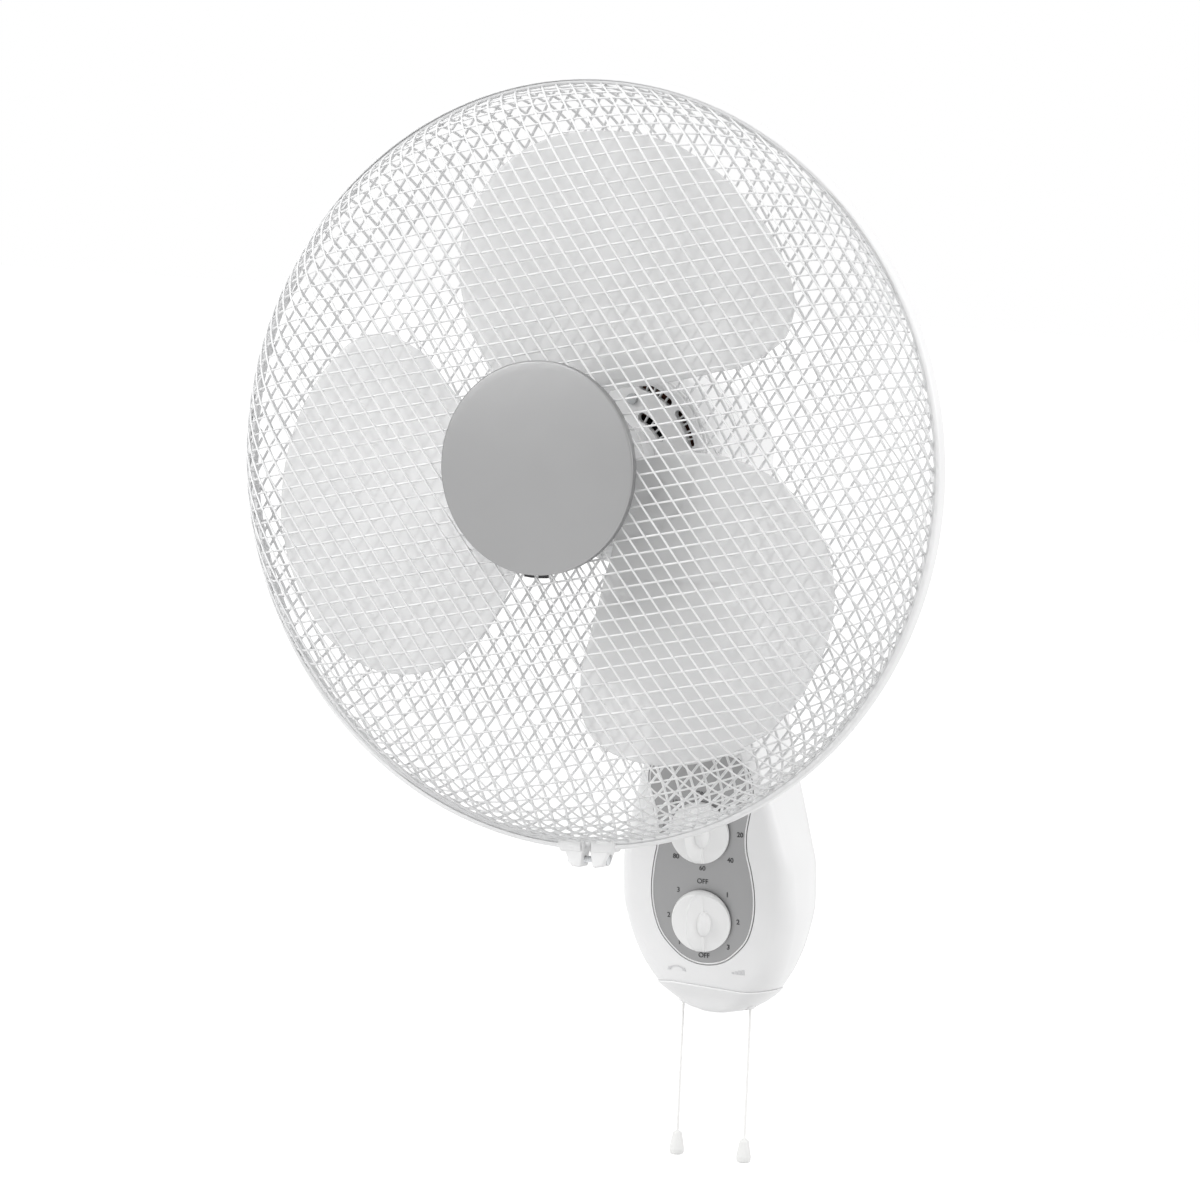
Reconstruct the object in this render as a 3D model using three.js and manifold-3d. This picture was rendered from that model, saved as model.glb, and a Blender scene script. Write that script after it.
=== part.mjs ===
// Oscillating wall fan: three-blade fan head in a two-part wire cage, on a tear-drop wall base
// with a timer knob, a speed knob and two pull cords.
// Millimetres, +Z up, +X to the right as seen from the front, +Y into the wall. The origin is
// on the wall face of the back plate; the fan axis runs along Y.
import * as THREE from 'three';
import { mergeVertices } from 'three/addons/utils/BufferGeometryUtils.js';
import Module from 'manifold-3d';

const wasm = await Module();
wasm.setup();

// ---- Driving dimensions ---------------------------------------------------------------------
const GAP = 0.3; // between pieces that seat on each other
const RUN_GAP = 0.06; // radial, between a shaft and its bore

// Places of the main assemblies
const AXIS_Z = 240; // fan axis above the origin
const RING_Y = -232; // plane where the two cage halves meet
const PIVOT_Y = -111; // swing post and tilt bolt
const TILT_Z = 130; // tilt bolt

// Cage
const HOOP_R = 217; // outside of the clamp hoop
const HOOP_WALL = 3.4;
const HOOP_WIDTH = 13;
const HOOP_LIP = 1.4;
const HOOP_SIDES = 44;
const RIM_BAR = 4.2; // square rim of each cage half
const CAGE_PITCH = 84; // between neighbouring bars on the flat sheet
const CAGE_BAR = 3.2; // width of a bar
const CAGE_THICK = 2.4;
const CAGE_END = 0.88; // section of the bars that run out to a rim, against the net's
const FRONT_ANGLES = [-51, 12.5]; // bar directions, degrees from X towards Z
const REAR_ANGLES = [57.5, -57.5];
const RIM_DEPTH_AT = 2; // where the bars meet their rim, before or behind the ring plane
const REAR_FLAT = 43; // middle of the rear bars at the centre
const REAR_HOLE = 50; // opening round the motor
// Dome shapes: share of the rim radius, share of the way from the flat centre to the rim
const FRONT_SHAPE = [[0, 0], [0.295, 0.004], [0.5, 0.014], [0.667, 0.052], [0.79, 0.125],
  [0.871, 0.23], [0.928, 0.4], [0.966, 0.6], [0.99, 0.82], [1, 1]];
const REAR_SHAPE = [[0, 0], [0.24, 0], [0.523, 0.012], [0.714, 0.05], [0.838, 0.135],
  [0.919, 0.32], [0.966, 0.56], [0.99, 0.78], [1, 1]];
const CLAMP_ANGLE = 3.3; // degrees from straight down, where the hoop is split
const CLAMP_GAP = 4.4;
const LUG_WIDTH = 14.5;
const LUG_DEPTH = 11;
const LUG_DROP = 10;
const CLAMP_SCREW_R = 2;

// Badge and its backing
const BADGE_R = 59.4;
const BADGE_FACE = -65.3; // front of the badge, from the ring plane
const BADGE_RIM = 7;
const BADGE_WALL = 2;
const BACKING_R = 40;
const BACKING_THICK = 2;
const BADGE_POST_R = 3;
const BADGE_POST_AT = 30;

// Blades
const BLADE_COUNT = 3;
const BLADE_FIRST = 78; // degrees from X towards Z, middle of the first blade
const BLADE_MID = -15; // mean depth of the blades, from the ring plane
const BLADE_RISE = 30; // how far each edge lies before or behind the mean
const BLADE_CAMBER = 5;
const BLADE_THICK = 2.2;
const BLADE_TIP_GAP = 21.7; // between the blade tips and the cage's rim radius
// Share of the tip radius, then the angles of the rear and front edge from the blade's middle
const BLADE_EDGES = [[0.24, -40, 50], [0.35, -42, 53], [0.49, -46, 50], [0.63, -47, 46],
  [0.74, -45.5, 41], [0.84, -38, 34.5], [0.915, -27.5, 26], [0.97, -14, 16], [1, -3, 7]];
const BLADE_TWIST = [[0.15, 0.62], [0.24, 0.85], [0.35, 1], [1, 0.95]];
const BLADE_SPAN = 46; // degrees from the middle over which an edge reaches its full rise
const HUB_R = 30;
const HUB_FRONT = -39;
const HUB_BACK = 13;
const SPINNER_R = 17;
const SPINNER_LENGTH = 10;

// Motor, distances along the axis from the ring plane
const SHAFT_R = 4;
const SHAFT_FRONT = -46;
const SHAFT_BACK = 130;
const HOUSING_SPLIT = 76;
const HOUSING_WALL = 2.5;
const COVER_R = 60;
// Rear housing: share of the cover's radius, distance behind the split
const HOUSING_PROFILE = [[1, 0], [0.975, 12], [0.9, 28], [0.8, 45], [0.733, 66], [0.692, 82],
  [0.6, 94], [0.4, 100.5], [0, 103]].map(([share, back]) => [COVER_R * share, HOUSING_SPLIT + back]);
const COVER_NOSE_R = 13;
const COVER_NOSE_FRONT = 30;
const OUTER_SLOTS = { count: 10, inner: 40.5, outer: 47, sweep: 27 };
const INNER_SLOTS = { count: 6, inner: 24, outer: 31, sweep: 42 };
const PLATE_R = 54;
const PLATE_THICK = 1.5;
const NUT_R = 21;
const NUT_DEPTH = 12;
const STATOR_R = 42;
const STATOR_BORE = 24;
const STATOR_FRONT = 66;
const STATOR_BACK = 106;
const COIL_R = 38;
const COIL_LENGTH = 5;
const ROTOR_R = 23.4;
const BEARING_R = 11;
const BEARING_WIDTH = 7;
const FRONT_BEARING = 50;
const BRACKET_FACE = 112;
const BRACKET_THICK = 3;

// Swing joint under the motor
const SKIRT_R = 37;
const SKIRT_WALL = 3;
const SKIRT_BOTTOM = 170;
const CARRIER_Z = 184;
const CARRIER_THICK = 6;
const POST_R = 5;
const POST_TOP = 210;
const NECK_FLANGE_R = 33;
const NECK_FLANGE = 8;
const NECK_TOP = 168;
const NECK_COLUMN_R = 20;
// Crank, link, head and post make a parallelogram, so the crank turns as far as the head does
const CRANK_OFFSET = 21; // crank shaft behind the post, and the link's length
const CRANK_THROW = 11; // crank pin from its shaft, and the fixed pin beside the post
const CRANK_THICK = 3;
const CRANK_END_R = 3.4;
const LINK_WIDTH = 4.4;
const LINK_THICK = 2.5;
const LINK_EYE_R = 3.6;
const LINK_Z = 174.2;
const CRANK_PIN_R = 2;
const SWING_MOTOR_R = 12;
const SWING_MOTOR_DEPTH = 12;

// Tilt joint
const BARREL_R = 25.5;
const BARREL_HALF = 24.6;
const EAR_R = 26;
const EAR_HALF = 39;
const BOLT_R = 4;
const BOLT_HEAD_R = 7;
const BOLT_HEAD = 5;

// Base
const PANEL_LEAN = 8.5; // degrees, panel face against the wall
const SPEED_Z = -36.8; // lower knob
const SPEED_FACE_Y = -51.4; // panel face at the lower knob
const KNOB_SPACING = 53.6; // along the panel
const PLATE_BACK_THICK = 2.5;
const PLATE_INSET = 7; // back plate inside the widest outline
const PLATE_LOW = -86;
const PLATE_HIGH = 92;
const SEAM_Z = -78; // joint between housing and chin cap
const BASE_BOTTOM = -96;
const BASE_WALL = 3;
const HOLLOW_TOP = 80;
const BASE_WIDTHS = [[-96, 9], [-93, 19], [-88, 28], [-78, 38.5], [-64, 46], [-46, 52.5], [-26, 56],
  [-5, 55.3], [13, 51], [37, 44.5], [62, 37.5], [80, 33.5], [94, 32], [104, 34], [114, 37.5],
  [122, 39], [130, 39]];
// Arm from the base to the tilt joint: share of the rise, share of the way forward
const ARM_START = 68;
const ARM_FRONT = [[0, 0], [0.19, 0.03], [0.32, 0.09], [0.42, 0.19], [0.52, 0.38], [0.58, 0.57],
  [0.71, 0.84], [0.87, 0.96], [1, 1]];
const ARM_BACK = [[0, 0], [0.16, 0.06], [0.37, 0.22], [0.58, 0.43], [0.79, 0.69], [1, 1]];
const ARM_BACK_REACH = 43; // top of the arm's back, behind the tilt bolt
const SHOULDER = [[-96, 6], [-80, 12], [0, 12], [40, 8], [90, 9], [130, 14]]; // front edge radius
const CHIN_FRONT = [[-96, 14], [-94, 8], [-91, 4], [-86, 1], [-78, 0]]; // how far the chin draws in
const CHIN_BACK = [[-96, -8], [-92, -3], [-88, 0]];
const KEYHOLE_X = 18;
const KEYHOLE_Z = 62;
const KEYHOLE_R = 5;
const KEYHOLE_SLOT = 5.2;
const KEYHOLE_RISE = 12;
const KEYHOLE_PAD = [13.4, 1, 26]; // raised seat for the screw head
const LOW_SCREW_Z = -66;

// Control panel and knobs
const PANEL_THICK = 1.3;
const PANEL_WIDTHS = [[-27.2, 0], [-25.5, 10], [-20.5, 18.5], [-10, 28], [4, 32.6], [18, 33.4],
  [32, 31.6], [44, 29], [55, 29], [66, 31.2], [78, 33.6], [90, 32.5], [99, 26], [103, 14], [104, 0]];
const KNOB_R = 18.4;
const KNOB_DISC = 7;
const KNOB_GRIP = 9;
const KNOB_GRIP_WIDTH = 8;
const KNOB_SHAFT_R = 3;
const KNOB_SHAFT = 14;
const TIMER_R = 19;
const TIMER_DEPTH = 20;
const SWITCH_SIZE = [30, 20, 34];

// Pull cords
const CORD_X = 22;
const CORD_Y = -27;
const CORD_R = 0.75;
const CORD_BOTTOM = -168;
const PULL_BAR = [8, 12, 4.5];
const PULL_UNIT = [14.7, 16, 22];
const PULL_UNIT_LOW = -61;
const TASSEL_R = 4.6;
const TASSEL_LENGTH = 14;
const GROMMET_R = 3.4;
const GROMMET_BORE = 1.6;
const GROMMET_HEIGHT = 7;
const PULL_STEM_R = 2;
const PULL_STEM = 18;

const SCREW_R = 1.6;
const SCREW_HEAD_R = 3.2;

// ---- Materials ------------------------------------------------------------------------------
const finish = (color, roughness, metalness = 0) =>
  new THREE.MeshStandardMaterial({ color, roughness, metalness });
const WHITE = finish(0xe9eaea, 0.35);
const KNOB_WHITE = finish(0xf0f0ef, 0.32);
const CAGE_WHITE = finish(0xe6e7e7, 0.4, 0.1);
const BLADE_GREY = finish(0xdcdddd, 0.4);
const SILVER = finish(0xb4b5b6, 0.38, 0.6);
const STEEL = finish(0x9a9c9e, 0.35, 1);
const DARK_STEEL = finish(0x47494b, 0.5, 0.8);
const COPPER = finish(0x9c5a34, 0.4, 0.8);
const BLACK = finish(0x1d1e1f, 0.6);
const CORD_WHITE = finish(0xf2f2f0, 0.8);

// ---- Geometry helpers -----------------------------------------------------------------------
const rad = THREE.MathUtils.degToRad;

// Welded positions, no slivers, faces pointing out.
function tidy(geometry) {
  const plain = geometry.index ? geometry.toNonIndexed() : geometry.clone();
  for (const name of Object.keys(plain.attributes)) {
    if (name !== 'position') plain.deleteAttribute(name);
  }
  const welded = mergeVertices(plain, 1e-4);
  const p = welded.attributes.position;
  const corners = [];
  let volume = 0;
  const [a, b, c] = [new THREE.Vector3(), new THREE.Vector3(), new THREE.Vector3()];
  for (let i = 0; i < welded.index.count; i += 3) {
    const [i0, i1, i2] = [0, 1, 2].map((k) => welded.index.getX(i + k));
    if (i0 === i1 || i1 === i2 || i0 === i2) continue;
    corners.push([i0, i1, i2]);
    a.fromBufferAttribute(p, i0);
    b.fromBufferAttribute(p, i1);
    c.fromBufferAttribute(p, i2);
    volume += a.dot(b.cross(c));
  }
  const order = volume < 0 ? ([x, y, z]) => [x, z, y] : (t) => t;
  welded.setIndex(corners.map(order).flat());
  return welded;
}

function solid(geometry) {
  if (geometry instanceof wasm.Manifold) return geometry;
  const g = tidy(geometry);
  return new wasm.Manifold(new wasm.Mesh({
    numProp: 3,
    vertProperties: Float32Array.from(g.attributes.position.array),
    triVerts: Uint32Array.from(g.index.array),
  }));
}

function surface(manifold) {
  const m = manifold.getMesh();
  const g = new THREE.BufferGeometry();
  g.setAttribute('position', new THREE.BufferAttribute(Float32Array.from(m.vertProperties), 3));
  g.setIndex(Array.from(m.triVerts));
  return g;
}

const join = (...parts) => parts.map(solid).reduce((sum, part) => sum.add(part));
const cut = (body, ...tools) => tools.map(solid).reduce((rest, tool) => rest.subtract(tool), solid(body));

function block(width, depth, height, x = 0, y = 0, z = 0) {
  return new THREE.BoxGeometry(width, depth, height).translate(x, y, z);
}

// Revolved about Y from [radius, y] points; a ring repeats its first point.
function turned(profile, segments = 32) {
  return new THREE.LatheGeometry(profile.map(([r, y]) => new THREE.Vector2(r, y)), segments);
}

function ringTurned(profile, segments = 32) {
  return turned([...profile, profile[0]], segments);
}

// Cylinder between two points on a line along axis 'x', 'y' or 'z'.
function rod(radius, axis, from, to, at = [0, 0, 0], segments = 20) {
  const g = new THREE.CylinderGeometry(radius, radius, Math.abs(to - from), segments);
  g.translate(0, (from + to) / 2, 0);
  if (axis === 'x') g.rotateZ(-Math.PI / 2);
  if (axis === 'z') g.rotateX(Math.PI / 2);
  return g.translate(...at);
}

// Closed skin over rings of equal point count, with a flat fan on each end.
function loft(rings) {
  const positions = [];
  const quad = (p, q, r, s) => positions.push(...p, ...q, ...r, ...p, ...r, ...s);
  const count = rings[0].length;
  for (let i = 0; i + 1 < rings.length; i += 1) {
    for (let j = 0; j < count; j += 1) {
      const k = (j + 1) % count;
      quad(rings[i][j], rings[i][k], rings[i + 1][k], rings[i + 1][j]);
    }
  }
  const centre = (ring) => [0, 1, 2].map((k) => ring.reduce((sum, p) => sum + p[k], 0) / count);
  for (const [ring, flip] of [[rings[0], true], [rings[rings.length - 1], false]]) {
    const middle = centre(ring);
    for (let j = 0; j < count; j += 1) {
      const [p, q] = [ring[j], ring[(j + 1) % count]];
      positions.push(...middle, ...(flip ? q : p), ...(flip ? p : q));
    }
  }
  const g = new THREE.BufferGeometry();
  g.setAttribute('position', new THREE.Float32BufferAttribute(positions, 3));
  return g;
}

// Value at x along a table of [x, value, ...] rows, eased between the rows (no overshoot).
function along(table, x, column = 1) {
  if (x <= table[0][0]) return table[0][column];
  const last = table.length - 1;
  if (x >= table[last][0]) return table[last][column];
  const i = table.findIndex((row) => row[0] > x) - 1;
  const slope = (k) => (table[k + 1][column] - table[k][column]) / (table[k + 1][0] - table[k][0]);
  const tangent = (k) => {
    if (k === 0) return slope(0);
    if (k === last) return slope(last - 1);
    const [s0, s1] = [slope(k - 1), slope(k)];
    return s0 * s1 <= 0 ? 0 : (2 * s0 * s1) / (s0 + s1);
  };
  const h = table[i + 1][0] - table[i][0];
  const t = (x - table[i][0]) / h;
  const [v0, v1] = [table[i][column], table[i + 1][column]];
  return v0 * (1 + 2 * t) * (1 - t) ** 2 + h * tangent(i) * t * (1 - t) ** 2
    + v1 * t * t * (3 - 2 * t) - h * tangent(i + 1) * t * t * (1 - t);
}

const fan = new THREE.Group();
function piece(name, geometry, material, parent = fan) {
  const g = tidy(geometry instanceof wasm.Manifold ? surface(geometry) : geometry);
  g.computeVertexNormals();
  const mesh = new THREE.Mesh(g, material);
  mesh.name = name;
  parent.add(mesh);
  return mesh;
}

// ---- Fan head frame: local y runs along the fan axis from the ring plane to the wall ---------
const head = new THREE.Group();
head.position.set(0, RING_Y, AXIS_Z);
fan.add(head);

// ---- Cage: a diamond net pressed from a flat sheet into a dome --------------------------------
// The dome's profile is walked by arc length, so bars keep their pitch over the shoulder.
function domeWalk(profile) {
  const arc = [0];
  for (let i = 1; i < profile.length; i += 1) {
    arc.push(arc[i - 1] + Math.hypot(profile[i][0] - profile[i - 1][0], profile[i][1] - profile[i - 1][1]));
  }
  const radii = arc.map((s, i) => [s, profile[i][0]]);
  const depths = arc.map((s, i) => [s, profile[i][1]]);
  const at = (s) => [along(radii, s), along(depths, s)];
  return { length: arc[arc.length - 1], at };
}

// Point of the sheet (u, v) on the dome, lifted off its middle surface.
function onDome(walk, [u, v], lift) {
  const s = Math.hypot(u, v);
  const [r, y] = walk.at(s);
  const [r0, y0] = walk.at(Math.min(Math.max(s - 1, 0), walk.length - 1));
  const [r1, y1] = walk.at(Math.min(s + 1, walk.length));
  const slope = Math.hypot(r1 - r0, y1 - y0);
  const outR = r - (lift * (y1 - y0)) / slope;
  const outY = y + (lift * (r1 - r0)) / slope;
  const scale = s > 0 ? outR / s : 0;
  return [u * scale, outY, v * scale];
}

// The net between the pads is one skin; the bars that run out to a rim are bodies of their own.
function meshDome(profile, angles, innerRadius) {
  const walk = domeWalk(profile);
  const reach = walk.length - 0.5;
  const normals = angles.map((a) => [-Math.sin(rad(a)), Math.cos(rad(a))]);
  const [[ax, az], [bx, bz]] = normals;
  const det = ax * bz - az * bx;
  const crossing = (p, q) => [(p * bz - q * az) / det, (q * ax - p * bx) / det];
  const steps = Math.ceil(reach / Math.abs(det) / CAGE_PITCH) + 1;
  const node = (i, j) => crossing(i * CAGE_PITCH, j * CAGE_PITCH);
  const inside = (i, j) => {
    const s = Math.hypot(...node(i, j));
    return s < reach - CAGE_BAR * 2 && s > innerRadius + (innerRadius ? CAGE_BAR : -1);
  };
  const half = CAGE_BAR / 2;
  const corner = (i, j, di, dj) => crossing(i * CAGE_PITCH + di * half, j * CAGE_PITCH + dj * half);
  const positions = [];
  const quad = (p, q, r, s) => positions.push(...p, ...q, ...r, ...p, ...r, ...s);
  const lift = (points, thick = CAGE_THICK) => [1, -1].map(
    (side) => points.map((p) => onDome(walk, p, (side * thick) / 2)));
  const close = (p, q) => {
    const [top, low] = lift([p, q]);
    quad(top[1], top[0], low[0], low[1]);
  };
  const bar = (p, s, r, q) => {
    const [top, low] = lift([p, s, r, q]);
    quad(top[0], top[1], top[2], top[3]);
    quad(low[3], low[2], low[1], low[0]);
    close(p, s);
    close(r, q);
  };
  // A bar from a pad's middle straight on to the ring of radius s, or to the end of its line.
  const runOut = ([x0, z0], [x1, z1], s) => {
    const [dx, dz] = [x1 - x0, z1 - z0];
    const [a, b, c] = [dx * dx + dz * dz, x0 * dx + z0 * dz, x0 * x0 + z0 * z0 - s * s];
    const under = b * b - a * c;
    const t = under < 0 ? 1 : (-b + (c < 0 ? 1 : -1) * Math.sqrt(under)) / a;
    const length = Math.hypot(dx, dz);
    const [nx, nz] = [(-dz / length) * half * CAGE_END, (dx / length) * half * CAGE_END];
    const count = Math.max(1, Math.round((t * length) / (CAGE_PITCH * 0.55)));
    return loft(Array.from({ length: count + 1 }, (_, k) => {
      const [x, z] = [x0 + (dx * t * k) / count, z0 + (dz * t * k) / count];
      const [top, low] = lift([[x - nx, z - nz], [x + nx, z + nz]], CAGE_THICK * CAGE_END);
      return [top[0], top[1], low[1], low[0]];
    }));
  };
  const ends = [];
  for (let i = -steps; i <= steps; i += 1) {
    for (let j = -steps; j <= steps; j += 1) {
      if (!inside(i, j)) continue;
      const pad = [corner(i, j, -1, -1), corner(i, j, 1, -1), corner(i, j, 1, 1), corner(i, j, -1, 1)];
      const [top, low] = lift(pad);
      quad(top[0], top[1], top[2], top[3]);
      quad(low[3], low[2], low[1], low[0]);
      const sides = [
        [1, 0, pad[1], pad[2], [-1, -1], [-1, 1]],
        [0, 1, pad[2], pad[3], [1, -1], [-1, -1]],
        [-1, 0, pad[3], pad[0], [1, 1], [1, -1]],
        [0, -1, pad[0], pad[1], [-1, 1], [1, 1]],
      ];
      for (const [di, dj, p, q, far0, far1] of sides) {
        if (inside(i + di, j + dj)) {
          if (di + dj > 0) bar(p, corner(i + di, j + dj, ...far0), corner(i + di, j + dj, ...far1), q);
          continue;
        }
        close(p, q);
        const [from, to] = [node(i, j), node(i + di, j + dj)];
        const outward = Math.hypot(...to) > Math.hypot(...from);
        ends.push(runOut(from, to, outward ? reach : innerRadius));
      }
    }
  }
  const g = new THREE.BufferGeometry();
  g.setAttribute('position', new THREE.Float32BufferAttribute(positions, 3));
  return join(g, ...ends);
}


const HOOP_INNER = HOOP_R - HOOP_WALL;
const RIM_R = HOOP_INNER - GAP; // outside of each cage rim
const DOME_R = RIM_R - RIM_BAR / 2 - 1; // middle of the bars where they meet the rim
const RIM_HALF = HOOP_WIDTH / 2 - HOOP_LIP - GAP; // outer face of each rim from the ring plane
const CAGE_FRONT = BADGE_FACE + BADGE_RIM + GAP + CAGE_THICK / 2;

function domeProfile(shape, centre, rim) {
  return shape.map(([radius, depth]) => [radius * DOME_R, centre + (rim - centre) * depth]);
}

function rimRing(side) {
  const [near, far] = [(side * GAP) / 2, side * RIM_HALF];
  const inner = RIM_R - RIM_BAR;
  return ringTurned([[inner, near], [RIM_R, near], [RIM_R, far], [inner, far]], HOOP_SIDES);
}

const frontDome = domeProfile(FRONT_SHAPE, CAGE_FRONT, -RIM_DEPTH_AT);
const rearDome = domeProfile(REAR_SHAPE, REAR_FLAT, RIM_DEPTH_AT);
const holeRing = ringTurned([
  [REAR_HOLE - CAGE_BAR / 2, REAR_FLAT - CAGE_THICK / 2],
  [REAR_HOLE + CAGE_BAR * 1.4, REAR_FLAT - CAGE_THICK / 2],
  [REAR_HOLE + CAGE_BAR * 1.4, REAR_FLAT + CAGE_THICK / 2],
  [REAR_HOLE - CAGE_BAR / 2, REAR_FLAT + CAGE_THICK / 2],
], 24);
piece('front_grille', join(meshDome(frontDome, FRONT_ANGLES, 0), rimRing(-1)).simplify(0.02), CAGE_WHITE, head);
piece('rear_grille', join(meshDome(rearDome, REAR_ANGLES, REAR_HOLE), rimRing(1), holeRing).simplify(0.02),
  CAGE_WHITE, head);

// Split hoop that clamps the two rims, with a screw across its lugs
function clampFrame(geometry) {
  return geometry.rotateY(-rad(CLAMP_ANGLE));
}

const lugTop = HOOP_R - HOOP_WALL / 2;
const screwDrop = HOOP_R + LUG_DROP * 0.5;
function lug(side) {
  const near = (side * CLAMP_GAP) / 2;
  const far = near + side * LUG_WIDTH;
  const foot = near + side * LUG_WIDTH * 0.72;
  const [top, shelf, low] = [-lugTop, -HOOP_R - LUG_DROP * 0.2, -HOOP_R - LUG_DROP];
  const row = (y, narrow) => [
    [near, y, top], [far, y, top], [far, y, shelf],
    [foot, y, low + narrow], [near, y, low + narrow],
  ];
  return loft([row(-LUG_DEPTH / 2, 1), row(0, 0), row(LUG_DEPTH / 2, 1)]);
}

function clampHoop() {
  const [half, lip] = [HOOP_WIDTH / 2, HOOP_WIDTH / 2 - HOOP_LIP];
  const lipR = HOOP_INNER - HOOP_LIP;
  const channel = ringTurned([
    [HOOP_R, -half], [HOOP_R, half], [lipR, half], [lipR, lip], [HOOP_INNER, lip],
    [HOOP_INNER, -lip], [lipR, -lip], [lipR, -half],
  ], HOOP_SIDES);
  const split = block(CLAMP_GAP, HOOP_WIDTH * 2, HOOP_WALL * 4, 0, 0, -HOOP_R);
  const reach = CLAMP_GAP / 2 + LUG_WIDTH + 1;
  const bore = rod(CLAMP_SCREW_R + GAP, 'x', -reach, reach, [0, 0, -screwDrop], 12);
  return cut(join(cut(channel, clampFrame(split)), clampFrame(lug(1)), clampFrame(lug(-1))),
    clampFrame(bore));
}

const lugReach = CLAMP_GAP / 2 + LUG_WIDTH + GAP;
const NUT_WIDE = 3.6;
const NUT_LONG = 3;
piece('clamp_hoop', clampHoop(), WHITE, head);
piece('clamp_screw', join(
  clampFrame(rod(CLAMP_SCREW_R, 'x', -lugReach - NUT_LONG - 1, lugReach + 1, [0, 0, -screwDrop], 12)),
  clampFrame(rod(NUT_WIDE, 'x', lugReach, lugReach + 2.4, [0, 0, -screwDrop], 12)),
), STEEL, head);
piece('clamp_nut', cut(
  clampFrame(rod(NUT_WIDE, 'x', -lugReach - NUT_LONG, -lugReach, [0, 0, -screwDrop], 6)),
  clampFrame(rod(CLAMP_SCREW_R + GAP / 2, 'x', -lugReach - 9, -lugReach + 5, [0, 0, -screwDrop], 12)),
), STEEL, head);

// Badge in front of the bars, drawn to a backing disc behind them by two posts
const badgeBack = BADGE_FACE + BADGE_RIM;
const backingFront = CAGE_FRONT + CAGE_THICK / 2 + GAP;
const postAngle = rad((FRONT_ANGLES[0] + FRONT_ANGLES[1]) / 2);
const postPlaces = [1, -1].map((side) => [
  side * BADGE_POST_AT * Math.cos(postAngle), 0, side * BADGE_POST_AT * Math.sin(postAngle)]);
piece('centre_badge', join(
  turned([[0, BADGE_FACE], [BADGE_R - 1.2, BADGE_FACE], [BADGE_R, BADGE_FACE + 1.2],
    [BADGE_R, badgeBack], [BADGE_R - BADGE_WALL, badgeBack],
    [BADGE_R - BADGE_WALL, BADGE_FACE + BADGE_WALL], [0, BADGE_FACE + BADGE_WALL]], 24),
  ...postPlaces.map((at) => rod(BADGE_POST_R, 'y', BADGE_FACE + 1, backingFront - GAP, at, 12)),
), SILVER, head);
piece('badge_backing', cut(
  rod(BACKING_R, 'y', backingFront, backingFront + BACKING_THICK, [0, 0, 0], 24),
  ...postPlaces.map((at) => rod(SCREW_R + GAP, 'y', backingFront - 1, backingFront + 9, at, 12)),
), WHITE, head);
postPlaces.forEach((at, i) => {
  const under = backingFront + BACKING_THICK + GAP;
  piece(`badge_screw_${i + 1}`, join(
    rod(SCREW_HEAD_R, 'y', under, under + 1.4, at, 12),
    rod(SCREW_R, 'y', backingFront, under + 0.5, at, 12),
  ), STEEL, head);
});

// ---- Impeller -------------------------------------------------------------------------------
const BLADE_TIP = DOME_R - BLADE_TIP_GAP;
const HUB_WALL = 2.5;
const HUB_BOSS_R = 9;
const HUB_BOSS_BACK = 5;

function bladePoint(radius, offset, lift) {
  const share = radius / BLADE_TIP;
  const turn = offset / BLADE_SPAN;
  const depth = BLADE_MID - BLADE_RISE * along(BLADE_TWIST, share) * turn
    + BLADE_CAMBER * (1 - turn * turn) * Math.min(1, share * 1.4);
  return [radius, depth + lift, offset];
}

function blade(middle) {
  const chord = [-1, -0.5, 0, 0.5, 1];
  const rows = [[(HUB_R - HUB_WALL / 2) / BLADE_TIP, -38, 44], ...BLADE_EDGES];
  const rings = rows.map(([share, rear, front]) => {
    const radius = share * BLADE_TIP;
    const offsets = chord.map((c) => (rear + front) / 2 + (c * (front - rear)) / 2);
    const side = (lift, list) => list.map((o) => bladePoint(radius, o, lift));
    const skin = [...side(-BLADE_THICK / 2, offsets), ...side(BLADE_THICK / 2, offsets.slice().reverse())];
    return skin.map(([r, y, o]) => [r * Math.cos(rad(middle + o)), y, r * Math.sin(rad(middle + o))]);
  });
  return loft(rings);
}

function hub() {
  const bore = SHAFT_R + RUN_GAP;
  return ringTurned([
    [bore, HUB_FRONT], [HUB_R * 0.733, HUB_FRONT], [HUB_R, HUB_FRONT + HUB_R * 0.2], [HUB_R, HUB_BACK],
    [HUB_R - HUB_WALL, HUB_BACK], [HUB_R - HUB_WALL, HUB_FRONT + HUB_R * 0.25],
    [HUB_R * 0.683, HUB_FRONT + HUB_WALL], [HUB_BOSS_R, HUB_FRONT + HUB_WALL],
    [HUB_BOSS_R, HUB_BOSS_BACK], [bore, HUB_BOSS_BACK],
  ], 24);
}

const bladeAngles = Array.from({ length: BLADE_COUNT }, (_, i) => BLADE_FIRST + (360 / BLADE_COUNT) * i);
piece('impeller', join(hub(), ...bladeAngles.map(blade)), BLADE_GREY, head);
const spinnerBack = HUB_FRONT - GAP;
piece('blade_nut', turned([
  [0, spinnerBack - SPINNER_LENGTH], [SPINNER_R * 0.6, spinnerBack - SPINNER_LENGTH],
  [SPINNER_R, spinnerBack - SPINNER_LENGTH * 0.55], [SPINNER_R, spinnerBack],
  [SHAFT_R + RUN_GAP, spinnerBack], [SHAFT_R + RUN_GAP, SHAFT_FRONT - GAP], [0, SHAFT_FRONT - GAP],
], 16), BLADE_GREY, head);
const PIN_R = 1.5;
const pinDepth = HUB_BOSS_BACK + GAP + PIN_R;
piece('motor_shaft', cut(rod(SHAFT_R, 'y', SHAFT_FRONT, SHAFT_BACK, [0, 0, 0], 16),
  rod(PIN_R + RUN_GAP, 'x', -SHAFT_R * 2, SHAFT_R * 2, [0, pinDepth, 0], 12)), STEEL, head);
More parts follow.
